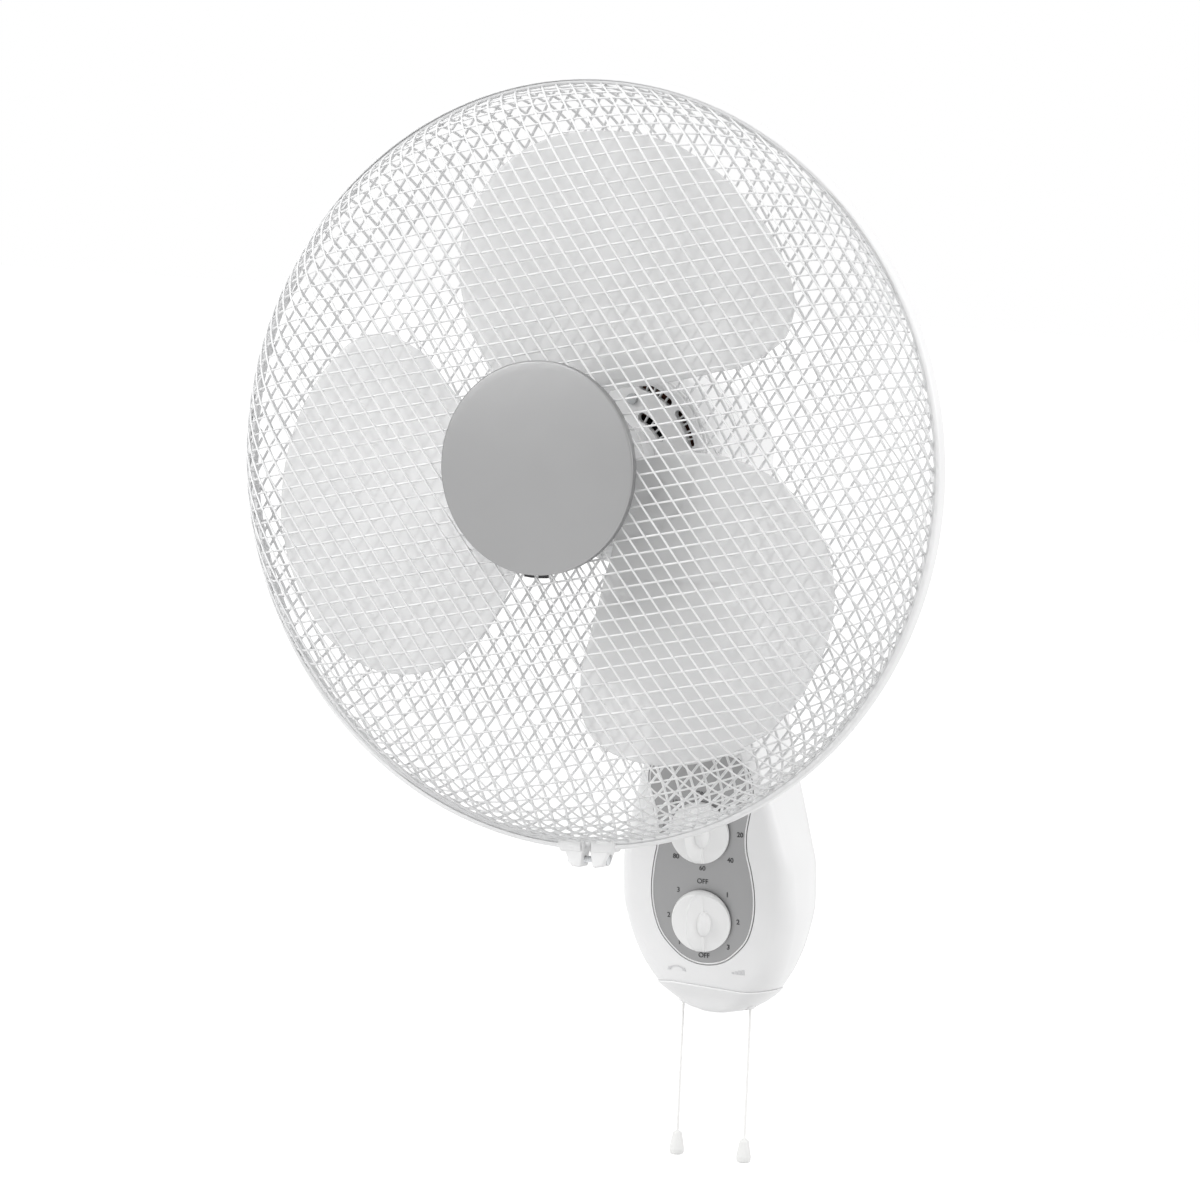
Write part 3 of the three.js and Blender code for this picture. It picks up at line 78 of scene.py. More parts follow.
# ---- Materials ---------------------------------------------------------------
def material(name, colour, rough, metal=0.0, vary=0.03, grain=900.0, bump=0.02, rough_vary=0.06,
             patch=14.0, **more):
    """Principled surface with a slow drift of colour and roughness and a fine moulded grain."""
    mat = bpy.data.materials.new(name)
    mat.use_nodes = True
    nodes, links = mat.node_tree.nodes, mat.node_tree.links
    shader = nodes["Principled BSDF"]
    where = nodes.new("ShaderNodeTexCoord")
    slow = nodes.new("ShaderNodeTexNoise")
    slow.inputs["Scale"].default_value = patch
    slow.inputs["Detail"].default_value = 4
    links.new(where.outputs["Object"], slow.inputs["Vector"])
    tint = nodes.new("ShaderNodeValToRGB")
    low = [c * (1 - vary) for c in colour]
    high = [min(c * (1 + vary), 1) for c in colour]
    tint.color_ramp.elements[0].position = 0.3
    tint.color_ramp.elements[1].position = 0.7
    tint.color_ramp.elements[0].color = (*low, 1)
    tint.color_ramp.elements[1].color = (*high, 1)
    links.new(slow.outputs["Fac"], tint.inputs["Fac"])
    links.new(tint.outputs["Color"], shader.inputs["Base Color"])
    spread = nodes.new("ShaderNodeMapRange")
    spread.inputs["To Min"].default_value = max(rough - rough_vary, 0.02)
    spread.inputs["To Max"].default_value = min(rough + rough_vary, 1)
    links.new(slow.outputs["Fac"], spread.inputs["Value"])
    links.new(spread.outputs["Result"], shader.inputs["Roughness"])
    fine = nodes.new("ShaderNodeTexNoise")
    fine.inputs["Scale"].default_value = grain
    fine.inputs["Detail"].default_value = 2
    links.new(where.outputs["Object"], fine.inputs["Vector"])
    height = nodes.new("ShaderNodeBump")
    height.inputs["Strength"].default_value = bump
    height.inputs["Distance"].default_value = 0.0004
    links.new(fine.outputs["Fac"], height.inputs["Height"])
    links.new(height.outputs["Normal"], shader.inputs["Normal"])
    shader.inputs["Metallic"].default_value = metal
    for key, value in more.items():
        shader.inputs[key.replace("_", " ")].default_value = value
    return mat

SHELL = material("shell_white", (0.86, 0.86, 0.862), 0.33, grain=1400, bump=0.03)
# Front wire: the same white painted wire as the rear, made darker as painted shade on the thin front
# wires.
CAGE_PAINTED_SHADE = material("cage_white", (0.77, 0.772, 0.775), 0.38, vary=0.04, grain=2600, bump=0.05)
REAR_CAGE = material("cage_grey", (0.86, 0.862, 0.865), 0.42, vary=0.04, grain=2600, bump=0.05)
KNOB = material("knob_white", (0.87, 0.87, 0.868), 0.3, grain=1400, bump=0.02)
BLADE = material("blade_grey", (0.78, 0.782, 0.785), 0.36, vary=0.02, grain=500, bump=0.02, Alpha=0.62)
SILVER = material("silver_lacquer", (0.295, 0.295, 0.297), 0.4, metal=0.6, vary=0.03, grain=5200,
                  bump=0.12, patch=9)
BADGE = material("badge_silver", (0.325, 0.325, 0.327), 0.34, metal=0.75, vary=0.03, grain=5200,
                 bump=0.12, patch=9)
STEEL = material("plated_steel", (0.55, 0.56, 0.57), 0.32, metal=1.0, vary=0.08, grain=3000, bump=0.08)
DARK = material("dark_steel", (0.06, 0.06, 0.065), 0.5, metal=0.4, vary=0.2, grain=1200, bump=0.1)
WINDING = material("enamelled_winding", (0.16, 0.055, 0.03), 0.4, metal=0.5, vary=0.25, grain=1800,
                   bump=0.3)
BLACK = material("black_plastic", (0.025, 0.025, 0.027), 0.5, vary=0.2, grain=1500, bump=0.08)
RUBBER = material("black_rubber", (0.02, 0.02, 0.02), 0.75, vary=0.2, grain=1100, bump=0.15)
INK = material("printed_ink", (0.03, 0.03, 0.032), 0.5, vary=0.1, grain=4000, bump=0.02)
# Grey for the raised signs: painted shade of their relief on the white housing.
RELIEF_SHADE_GREY = material("emblem_painted_shade", (0.66, 0.66, 0.67), 0.45, vary=0.04, grain=4000, bump=0.02)
CORD = material("woven_cord", (0.92, 0.92, 0.905), 0.75, vary=0.05, grain=2200, bump=0.5)
TASSEL = material("tassel_white", (0.82, 0.82, 0.81), 0.3, vary=0.02, grain=1500, bump=0.02)

# ---- Mesh helpers ------------------------------------------------------------
def along(table, x, column=1):
    """Value at x along rows of [x, value, ...], eased between the rows without overshoot."""
    if x <= table[0][0]:
        return table[0][column]
    last = len(table) - 1
    if x >= table[last][0]:
        return table[last][column]
    i = next(k for k, row in enumerate(table) if row[0] > x) - 1
    slope = lambda k: (table[k + 1][column] - table[k][column]) / (table[k + 1][0] - table[k][0])
    def tangent(k):
        if k == 0 or k == last:
            return slope(min(k, last - 1))
        s0, s1 = slope(k - 1), slope(k)
        return 0 if s0 * s1 <= 0 else 2 * s0 * s1 / (s0 + s1)
    h = table[i + 1][0] - table[i][0]
    t = (x - table[i][0]) / h
    v0, v1 = table[i][column], table[i + 1][column]
    return (v0 * (1 + 2 * t) * (1 - t) ** 2 + h * tangent(i) * t * (1 - t) ** 2
            + v1 * t * t * (3 - 2 * t) - h * tangent(i + 1) * t * t * (1 - t))

def mesh_object(name, verts, faces):
    """New object from a mesh in millimetres, with its normals facing out."""
    mesh = bpy.data.meshes.new(name)
    mesh.from_pydata([tuple(c * MM for c in v) for v in verts], [], faces)
    mesh.validate()
    bm = bmesh.new()
    bm.from_mesh(mesh)
    bmesh.ops.recalc_face_normals(bm, faces=bm.faces)
    bm.to_mesh(mesh)
    bm.free()
    obj = bpy.data.objects.new(name, mesh)
    scene.collection.objects.link(obj)
    return obj

def piece(name, verts, faces, mat, body, replaces=(), slot=None, place=None, sharp=40):
    """A visible piece: placed, smoothed up to the sharp angle and riding on its body."""
    if place is not None:
        verts = [place @ Vector(v) for v in verts]
    obj = mesh_object(name, verts, faces)
    obj.data.materials.append(mat)
    obj.data.shade_smooth()
    obj.data.set_sharp_from_angle(angle=math.radians(sharp))
    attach(obj, body)
    if replaces:
        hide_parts(*replaces)
    return obj

def polar(radius, degrees):
    a = math.radians(degrees)
    return radius * math.cos(a), radius * math.sin(a)

def merged(*shapes):
    verts, faces = [], []
    for v, f in shapes:
        base = len(verts)
        verts += list(v)
        faces += [tuple(i + base for i in face) for face in f]
    return verts, faces

def moved(shape, matrix):
    return [tuple(matrix @ Vector(v)) for v in shape[0]], shape[1]

def filleted(points, closed=True, steps=5):
    """Outline of (u, v, radius) points with each corner rounded to its radius."""
    out, count = [], len(points)
    for i, point in enumerate(points):
        u, v, radius = (*point, 0)[:3]
        if not radius or (not closed and i in (0, count - 1)):
            out.append((u, v))
            continue
        here = Vector((u, v))
        before = Vector(points[i - 1][:2]) - here
        after = Vector(points[(i + 1) % count][:2]) - here
        half = before.angle(after) / 2
        reach = min(radius / math.tan(half), before.length * 0.48, after.length * 0.48)
        size = reach * math.tan(half)
        a, b = here + before.normalized() * reach, here + after.normalized() * reach
        middle = here + (before.normalized() + after.normalized()).normalized() * (size / math.sin(half))
        start, end = a - middle, b - middle
        turn = start.angle_signed(end)
        for k in range(steps + 1):
            angle = -turn * k / steps
            c, s = math.cos(angle), math.sin(angle)
            out.append((middle.x + start.x * c - start.y * s, middle.y + start.x * s + start.y * c))
    return out

def lathe(profile, sides=128, closed=False, start=0.0, sweep=360.0):
    """Revolves (r, y) points about Y; an open sweep gets end faces when the profile is closed."""
    whole = sweep >= 360
    columns = sides if whole else sides + 1
    verts, faces, n = [], [], len(profile)
    for i in range(columns):
        a = math.radians(start + sweep * i / sides)
        verts += [(r * math.cos(a), y, r * math.sin(a)) for r, y in profile]
    spans = n if closed else n - 1
    for i in range(sides):
        j = (i + 1) % columns
        for k in range(spans):
            m = (k + 1) % n
            faces.append((i * n + k, j * n + k, j * n + m, i * n + m))
    if closed and not whole:
        faces.append(tuple(range(n)))
        faces.append(tuple(range((columns - 1) * n, columns * n)))
    return weld(verts, faces)

def weld(verts, faces):
    """Joins points that lie within a ten-thousandth of a millimetre and drops collapsed faces."""
    keys, index, out = {}, [], []
    for v in verts:
        key = tuple(round(c / 1e-4) for c in v)
        if key not in keys:
            keys[key] = len(out)
            out.append(tuple(v))
        index.append(keys[key])
    clean = []
    for face in faces:
        loop = []
        for i in face:
            if index[i] not in loop:
                loop.append(index[i])
        if len(loop) > 2:
            clean.append(tuple(loop))
    return out, clean

def loft(rings):
    """Closed skin over rings of equal length, with a cap at each end."""
    n = len(rings[0])
    verts = [p for ring in rings for p in ring]
    faces = []
    for i in range(len(rings) - 1):
        for k in range(n):
            m = (k + 1) % n
            faces.append((i * n + k, i * n + m, (i + 1) * n + m, (i + 1) * n + k))
    faces.append(tuple(range(n)))
    faces.append(tuple(range(len(verts) - n, len(verts))))
    return weld(verts, faces)

def rod(radius, axis, start, end, at=(0, 0, 0), sides=48, edge=0.6):
    """Round bar along x, y or z with softened ends."""
    edge = min(edge, radius * 0.45, abs(end - start) * 0.45)
    profile = filleted([(0, start), (radius, start, edge), (radius, end, edge), (0, end)], closed=False,
                       steps=3)
    verts, faces = lathe(profile, sides)
    turn = {"x": Matrix.Rotation(-math.pi / 2, 4, "Z"), "y": Matrix(), "z": STAND}
    return moved((verts, faces), Matrix.Translation(at) @ turn[axis])

def outline_area(points):
    return sum(a[0] * b[1] - b[0] * a[1] for a, b in zip(points, points[1:] + points[:1])) / 2

def inset(points, amount):
    """Closed outline moved inward along its corner normals."""
    turn = 1 if outline_area(points) > 0 else -1
    out, n = [], len(points)
    for i, p in enumerate(points):
        a, b = Vector(points[i - 1]), Vector(points[(i + 1) % n])
        t = (b - a).normalized()
        out.append((p[0] - t.y * amount * turn, p[1] + t.x * amount * turn))
    return out

def prism(outline, start, end):
    """Closed (x, z) outline drawn out along y."""
    return loft([[(x, y, z) for x, z in outline] for y in (start, end)])

def layers(outline, rows):
    """Closed (x, z) outline lofted through rows of (y, inset)."""
    return loft([[(x, y, z) for x, z in inset(outline, e)] for y, e in rows])

def sweep(path, radius, sides=10, closed=False, up=(0, 0, 1)):
    """Round tube along 3-D points."""
    pts = [Vector(p) for p in path]
    n = len(pts)
    verts, faces = [], []
    hint = Vector(up)
    for i, p in enumerate(pts):
        if closed:
            t = (pts[(i + 1) % n] - pts[i - 1]).normalized()
        else:
            t = (pts[min(i + 1, n - 1)] - pts[max(i - 1, 0)]).normalized()
        side = t.cross(hint)
        side = side.normalized() if side.length > 1e-6 else Vector((1, 0, 0))
        top = side.cross(t).normalized()
        for k in range(sides):
            a = 2 * math.pi * k / sides
            verts.append(tuple(p + side * (radius * math.cos(a)) + top * (radius * math.sin(a))))
    spans = n if closed else n - 1
    for i in range(spans):
        j = (i + 1) % n
        for k in range(sides):
            m = (k + 1) % sides
            faces.append((i * sides + k, i * sides + m, j * sides + m, j * sides + k))
    if not closed:
        faces.append(tuple(range(sides)))
        faces.append(tuple(range((n - 1) * sides, n * sides)))
    return verts, faces

def carve(shape, steps):
    """Boolean steps on a closed shape: (operation, other shape); returns verts and faces in mm."""
    body = mesh_object("carve_body", *shape)
    for operation, other in steps:
        tool = mesh_object("carve_tool", *other)
        mod = body.modifiers.new("carve", "BOOLEAN")
        mod.operation, mod.solver, mod.object = operation, "EXACT", tool
        graph = bpy.context.evaluated_depsgraph_get()
        mesh = bpy.data.meshes.new_from_object(body.evaluated_get(graph))
        body.modifiers.clear()
        old, body.data = body.data, mesh
        bpy.data.meshes.remove(old)
        bpy.data.objects.remove(tool, do_unlink=True)
    verts = [tuple(v.co * 1000) for v in body.data.vertices]
    faces = [tuple(p.vertices) for p in body.data.polygons]
    bpy.data.objects.remove(body, do_unlink=True)
    return verts, faces

# ---- Pull cords: straight down out of the chin -------------------------------
CORD_TOP, CORD_BOTTOM, CORD_END = -66.1, -168.0, 0.3
CORD_R, CORD_SIDES, CORD_STEPS, CORD_TWIST = 0.75, 12, 30, 0.06
TASSEL_R, TASSEL_LENGTH = 4.6, 14.0
def pull_cords():
    low, r, h = CORD_BOTTOM - CORD_END, TASSEL_R, TASSEL_LENGTH
    bell = filleted([(0.8, 0.6), (1.6, 0, 0.5), (r * 0.6, -0.05 * h, 0.9), (r * 0.7, -0.24 * h, 5),
                     (r * 0.86, -0.52 * h, 7), (r * 0.99, -0.76 * h, 3), (r * 0.9, -h, 1.8), (0, -h)],
                    closed=False, steps=6)
    for name, x in (("swing", -CORD_X), ("speed", CORD_X)):
        route = [(x, CORD_Y, CORD_TOP + (low - CORD_TOP) * i / CORD_STEPS) for i in range(CORD_STEPS + 1)]
        verts, faces = sweep(route, CORD_R, CORD_SIDES, up=(0, 1, 0))
        twist = []
        for i, v in enumerate(verts):
            c = route[i // CORD_SIDES]
            f = 1 + (CORD_TWIST if (i // CORD_SIDES + i % CORD_SIDES) % 3 == 0 else 0)
            twist.append((c[0] + (v[0] - c[0]) * f, c[1] + (v[1] - c[1]) * f, v[2]))
        cord = piece(f"{name}_pull_cord", twist, faces, CORD, f"{name}_pull", [f"{name}_cord"],
                     "cord_white")
        end = piece(f"{name}_pull_tassel", *lathe([(0, 0.6)] + bell, 48), TASSEL, f"{name}_pull",
                    [f"{name}_tassel"], "cord_white", Matrix.Translation((x, CORD_Y, low)) @ STAND)
pull_cords()

# ---- Wire cage: a flat diamond net pressed into two domes --------------------
RIM_R, RIM_WIRE, RIM_Y = 213.7, 1.5, 1.56
DOME_R = 212.0
FRONT_WIRE, REAR_WIRE, WIRE_PITCH = 0.58, 0.82, 8.5
CAGE_FRONT, CAGE_REAR = -56.8, 43
FRONT_SHAPE = [[0, 0], [0.295, 0.004], [0.5, 0.014], [0.667, 0.052], [0.79, 0.125],
               [0.871, 0.23], [0.928, 0.4], [0.966, 0.6], [0.99, 0.82], [1, 1]]
REAR_SHAPE = [[0, 0], [0.24, 0], [0.523, 0.012], [0.714, 0.05], [0.838, 0.135],
              [0.919, 0.32], [0.966, 0.56], [0.99, 0.78], [1, 1]]

def dome(shape, centre, rim):
    """Radius, depth and slope of the dome at each step of arc length, as arrays."""
    rows = [(r * DOME_R, centre + (rim - centre) * d) for r, d in shape]
    arc = [0.0]
    for a, b in zip(rows, rows[1:]):
        arc.append(arc[-1] + math.hypot(b[0] - a[0], b[1] - a[1]))
    radii = [[s, row[0]] for s, row in zip(arc, rows)]
    depths = [[s, row[1]] for s, row in zip(arc, rows)]
    s = np.linspace(0, arc[-1], 480)
    r = np.array([along(radii, v) for v in s])
    y = np.array([along(depths, v) for v in s])
    dr, dy = np.gradient(r, s), np.gradient(y, s)
    size = np.hypot(dr, dy)
    return s, r, y, dr / size, dy / size

def wires(shape, angle, lift, outward, hole, thick):
    """Every wire of one direction, as one mesh of tubes that follow the dome.

    lift moves the wires along the dome's normal, outward is -1 at the front and 1 at the rear,
    and no wire runs inside the hole's radius.
    """
    s, r, y, dr, dy = shape
    reach = s[-1]
    d = np.array([math.cos(math.radians(angle)), math.sin(math.radians(angle))])
    n = np.array([-d[1], d[0]])
    verts, faces = [], []
    sides, step = 6, 4.5
    ring = 2 * np.pi * np.arange(sides) / sides
    count = int(reach / WIRE_PITCH)
    for k in range(-count, count + 1):
        off = (k + 0.5) * WIRE_PITCH
        if abs(off) > reach - 3:
            continue
        half = math.sqrt(reach * reach - off * off)
        runs = [(-half, half)]
        if hole and abs(off) < hole:
            gap = math.sqrt(hole * hole - off * off)
            runs = [(-half, -gap), (gap, half)]
        for a, b in runs:
            m = max(4, int((b - a) / step) + 1)
            t = np.linspace(a, b, m)
            flat = off * n[None, :] + t[:, None] * d[None, :]
            at = np.hypot(flat[:, 0], flat[:, 1])
            radial = flat / np.maximum(at, 1e-6)[:, None]
            rr, yy = np.interp(at, s, r), np.interp(at, s, y)
            tr, ty = np.interp(at, s, dr), np.interp(at, s, dy)
            size = np.hypot(tr, ty)
            tr, ty = tr / size, ty / size
            nr, ny = -ty * outward, tr * outward
            normal = np.stack([nr * radial[:, 0], ny, nr * radial[:, 1]], 1)
            centre = np.stack([rr * radial[:, 0], yy, rr * radial[:, 1]], 1) + normal * lift
            run = np.gradient(centre, axis=0)
            run /= np.linalg.norm(run, axis=1)[:, None]
            side = np.cross(run, normal)
            side /= np.linalg.norm(side, axis=1)[:, None]
            base = len(verts)
            pts = (centre[:, None, :] + thick * (np.cos(ring)[None, :, None] * side[:, None, :]
                   + np.sin(ring)[None, :, None] * normal[:, None, :])).reshape(-1, 3)
            verts.extend(map(tuple, pts.tolist()))
            for i in range(m - 1):
                for q in range(sides):
                    w = (q + 1) % sides
                    faces.append((base + i * sides + q, base + i * sides + w,
                                  base + (i + 1) * sides + w, base + (i + 1) * sides + q))
            faces.append(tuple(base + q for q in range(sides)))
            faces.append(tuple(base + (m - 1) * sides + q for q in range(sides)))
    return verts, faces

def torus(radius, y, thick, sides=192, around=12):
    profile = [(radius + thick * math.cos(2 * math.pi * k / around),
                y + thick * math.sin(2 * math.pi * k / around)) for k in range(around)]
    return lathe(profile, sides, closed=True)

def net(shape, outer_angle, inner_angle, outward, hole, wire):
    """Two crossing layers of wires on a dome, with the rim wire."""
    return merged(wires(shape, outer_angle, wire * 0.9, outward, hole, wire),
                  wires(shape, inner_angle, -wire * 0.9, outward, hole, wire),
                  torus(RIM_R, RIM_Y * outward, RIM_WIRE))

def cage():
    front = net(dome(FRONT_SHAPE, CAGE_FRONT, -2), -51, 12.5, -1, 0, FRONT_WIRE)
    piece("front_grille_mesh", *front, CAGE_PAINTED_SHADE, "fan_head", ["front_grille"], "cage_white", HEAD, sharp=60)
    rear = net(dome(REAR_SHAPE, CAGE_REAR, 2), 57.5, -57.5, 1, 50.5, REAR_WIRE)
    ring = filleted([(49, 42, 1), (53, 42, 1), (53, 44, 1), (49, 44, 1)], steps=3)
    piece("rear_grille_mesh", *merged(rear, lathe(ring, 128, closed=True)), REAR_CAGE, "fan_head",
          ["rear_grille"], "cage_white", HEAD, sharp=60)
cage()

# ---- Clamp hoop with its two lugs, screw and nut -----------------------------
HOOP_R, HOOP_HALF, HOOP_LIP, HOOP_INNER, HOOP_WALL = 217.0, 4.3, 214.5, 215.3, 1.1
CLAMP_ANGLE, CLAMP_HALF_GAP, CLAMP_SCREW_Z = 3.3, 2.2, -222.6
CLAMP_TURN = Matrix.Rotation(math.radians(-CLAMP_ANGLE), 4, "Y")
LUG_TOP = [(2.0, -211.6, 0.8), (16.8, -211.2, 1.6), (18.2, -214.2, 1.8), (16.4, -218.4, 1.8),
           (2.0, -218.6, 0.8)]
LUG_FOOT = [(2.2, -217.2), (14.0, -217.2), (10.4, -226.4, 2.2), (3.4, -227.2, 1.6)]
def clamp_hoop():
    h, step = HOOP_HALF, HOOP_HALF - HOOP_WALL
    profile = filleted([(HOOP_LIP, -h, 0.4), (HOOP_R, -h, 1.5), (HOOP_R, h, 1.5), (HOOP_LIP, h, 0.4),
                        (HOOP_LIP, step, 0.2), (HOOP_INNER, step), (HOOP_INNER, -step),
                        (HOOP_LIP, -step, 0.2)], steps=5)
    gap = math.degrees(CLAMP_HALF_GAP / HOOP_R)
    hoop = lathe(profile, 288, closed=True, start=270 + CLAMP_ANGLE + gap, sweep=360 - 2 * gap)
    blocks = []
    for side in (1, -1):
        for outline, deep in ((LUG_TOP, 5.5), (LUG_FOOT, 4.9)):
            rows = ((-deep, 1.1), (0.35 - deep, 0.45), (1.1 - deep, 0), (deep - 1.1, 0),
                    (deep - 0.35, 0.45), (deep, 1.1))
            verts, faces = layers(filleted(outline, steps=4), rows)
            blocks.append(([(side * x, y, z) for x, y, z in verts], faces))
    z = CLAMP_SCREW_Z
    sinks = [rod(3.1, "x", side * 10.2, side * 20, (0, 0, z), 32, 0) for side in (1, -1)]
    lugs = carve(blocks[0], [(ADD, shape) for shape in blocks[1:]] + [(CUT, shape) for shape in sinks]
                 + [(CUT, rod(2.1, "x", -12, 12, (0, 0, z), 24, 0))])
    piece("split_hoop", *merged(hoop, moved(lugs, CLAMP_TURN)), SHELL, "fan_head", ["clamp_hoop"],
          "shell_white", HEAD, sharp=35)
    thread = [(0, -11.2)]
    for k in range(20):
        thread += [(1.65, -11.0 + 1.05 * k), (1.95, -10.5 + 1.05 * k)]
    thread += [(1.65, 10.0), (2.8, 10.3), (2.8, 11.6), (1.2, 12.2), (0, 12.2)]
    lay = Matrix.Translation((0, 0, z)) @ Matrix.Rotation(-math.pi / 2, 4, "Z")
    piece("hoop_screw", *moved(lathe(thread, 32), CLAMP_TURN @ lay), STEEL, "fan_head", ["clamp_screw"],
          "steel", HEAD)
    hexagon = [polar(2.9, 60 * k) for k in range(6)]
    outer = [[(x, a, z + b) for a, b in inset(hexagon, e)] for x, e in
             ((-13.0, 0.4), (-12.7, 0), (-10.6, 0), (-10.3, 0.4))]
    nut = carve(loft(outer), [(CUT, rod(2.05, "x", -15, -8, (0, 0, z), 24, 0))])
    piece("hoop_nut", *moved(nut, CLAMP_TURN), STEEL, "fan_head", ["clamp_nut"], "steel", HEAD)
clamp_hoop()

# ---- Badge -------------------------------------------------------------------
def badge():
    face, back, r = -65.3, -58.3, 59.4
    crown = [(r * k / 12, face + 1.9 * (k / 12) ** 2) for k in range(12)]
    edge = filleted([crown[-1], (r - 0.9, face + 1.85, 0.5), (r, face + 2.5, 0.5), (r, back, 0.4),
                     (r - 2, back), (r - 2, face + 3.6), (0, face + 2.6)], closed=False, steps=4)
    posts = []
    for side in (1, -1):
        x, z = polar(30 * side, -19.25)
        posts.append(rod(3, "y", face + 2, -55.5, (x, 0, z), 24))
    piece("badge_disc", *merged(lathe(crown + edge[1:], 192), *posts), BADGE, "fan_head",
          ["centre_badge"], "silver_finish", HEAD, sharp=30)
    # Two small clips behind the foot of the badge, black for the clips' own plastic and as painted shadow
    # of the gap there.
    clip = prism([(-2.6, -61.2), (2.6, -61.2), (2.6, -58.6), (-2.6, -58.6)], -58.1, -55.6)
    clips = [moved(clip, Matrix.Rotation(-math.radians(turn), 4, "Y")) for turn in (-4.2, 4.2)]
    piece("badge_clips_painted_shadow", *merged(*clips), BLACK, "fan_head", (), "black_plastic", HEAD)
badge()

# ---- Blades ------------------------------------------------------------------
TIP, ROOT, HUB_SHARE = 189, 28.0, 0.24
BLADE_DEPTH, BLADE_PITCH, BLADE_SPAN, FIRST_BLADE = -20.6, 15.7, 46, 79.9
# Rows of share of the tip radius, then the angles of the rear and front edges from the middle.
EDGES = [[HUB_SHARE, -14, 48], [0.35, -34, 50], [0.49, -43.5, 48.5], [0.63, -48, 44],
         [0.74, -47.5, 39], [0.84, -42.5, 32], [0.915, -32, 24.5], [0.97, -19, 15], [1, -8, 2]]
TWIST = [[0.15, 0.62], [0.24, 0.85], [0.35, 1], [1, 0.95]]
def blade(middle):
    """One blade: rows across the span closing on a round tip, thin at its edges."""
    rows_n, chord_n = ((56, 30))
    start = ROOT / TIP
    top, low = [], []
    for i in range(rows_n + 1):
        u = i / rows_n
        share = start + (1 - start) * (1 - (1 - u) ** 1.7)
        rear, front = along(EDGES, share), along(EDGES, share, 2)
        if share < HUB_SHARE:
            front -= (HUB_SHARE - share) * 60
        radius = share * TIP
        up, down = [], []
        for k in range(chord_n + 1):
            c = -math.cos(math.pi * k / chord_n)
            angle = (rear + front) / 2 + c * (front - rear) / 2
            depth = BLADE_DEPTH - BLADE_PITCH * along(TWIST, share) * (angle / BLADE_SPAN)
            edge = math.sqrt(max(0.0, 1 - c * c))
            half = 0.25 + 0.85 * min(1, edge * 4) * min(1, (1 - share) * 12 + 0.15)
            a = math.radians(middle + angle)
            up.append((radius * math.cos(a), depth - half, radius * math.sin(a)))
            down.append((radius * math.cos(a), depth + half, radius * math.sin(a)))
        top.append(up)
        low.append(down)
    return loft([u + d[::-1] for u, d in zip(top, low)])

def scalloped(shape, beyond, count, deep):
    """The shape with finger grips cut round its rim, past the radius beyond."""
    verts = []
    for x, y, z in shape[0]:
        f = 1
        if math.hypot(x, z) > beyond:
            f = 1 - deep * (0.5 + 0.5 * math.cos(count * math.atan2(z, x)))
        verts.append((x * f, y, z * f))
    return verts, shape[1]

def impeller():
    hub = filleted([(BOLT_R, -39), (22, -39, 4), (30, -33, 5), (30, 13, 0.8), (27.5, 13, 0.8),
                    (27.5, -31.5, 3), (20.5, -36.5, 2), (9, -36.5, 1), (9, 5, 0.5), (BOLT_R, 5)], steps=5)
    ribs = []
    for k in range(6):
        c, s = polar(1, 60 * k + 30)
        ribs.append(loft([[(dist * c - w * s, y, dist * s + w * c)
                           for w, y in ((-0.8, -36.8), (0.8, -36.8), (0.8, 3), (-0.8, 3))]
                          for dist in (8.5, 27.8)]))
    blades = [blade(FIRST_BLADE + 120 * k) for k in range(3)]
    piece("blade_wheel", *merged(lathe(hub, 96, closed=True), *ribs, *blades), BLADE, "rotor",
          ["impeller"], "blade_grey", HEAD, sharp=38)
    nut = filleted([(0, -49.3), (9, -49.3, 4), (17, -44.8, 2.5), (17, -39.3, 0.5), (BOLT_R, -39.3),
                    (BOLT_R, -46.3), (0, -46.3)], closed=False, steps=5)
    piece("spinner_nut", *scalloped(lathe(nut, 120), 15.5, 12, 0.045), BLADE, "rotor", ["blade_nut"],
          "blade_grey", HEAD)
impeller()

# ---- Motor shells ------------------------------------------------------------
OUTER = dict(count=10, inner=42.2, outer=46.4, sweep=30.0, first=28.0)
INNER = dict(count=4, inner=25.0, outer=30.2, sweep=45.0, first=49.3)
GROOVE = dict(count=10, inner=38.2, outer=40.0, sweep=33.0, first=27.0)
def slot_cutter(spec, start, end):
    """Arc slots with round ends, as closed prisms along y."""
    shapes = []
    mid, half = (spec["inner"] + spec["outer"]) / 2, (spec["outer"] - spec["inner"]) / 2
    reach = spec["sweep"] / 2 - math.degrees(half / mid)
    def round_end(at, turn):
        x, z = polar(mid, at)
        return [(x + u, z + v) for u, v in [polar(half, at + turn + 22.5 * k) for k in range(1, 8)]]
    for i in range(spec["count"]):
        centre = 360 / spec["count"] * i + spec["first"]
        low, high = centre - reach, centre + reach
        outside = [polar(spec["outer"], low + 2 * reach * k / 12) for k in range(13)]
        inside = [polar(spec["inner"], high - 2 * reach * k / 12) for k in range(13)]
        shapes.append(prism(outside + round_end(high, 0) + inside + round_end(low, 180), start, end))
    return merged(*shapes)

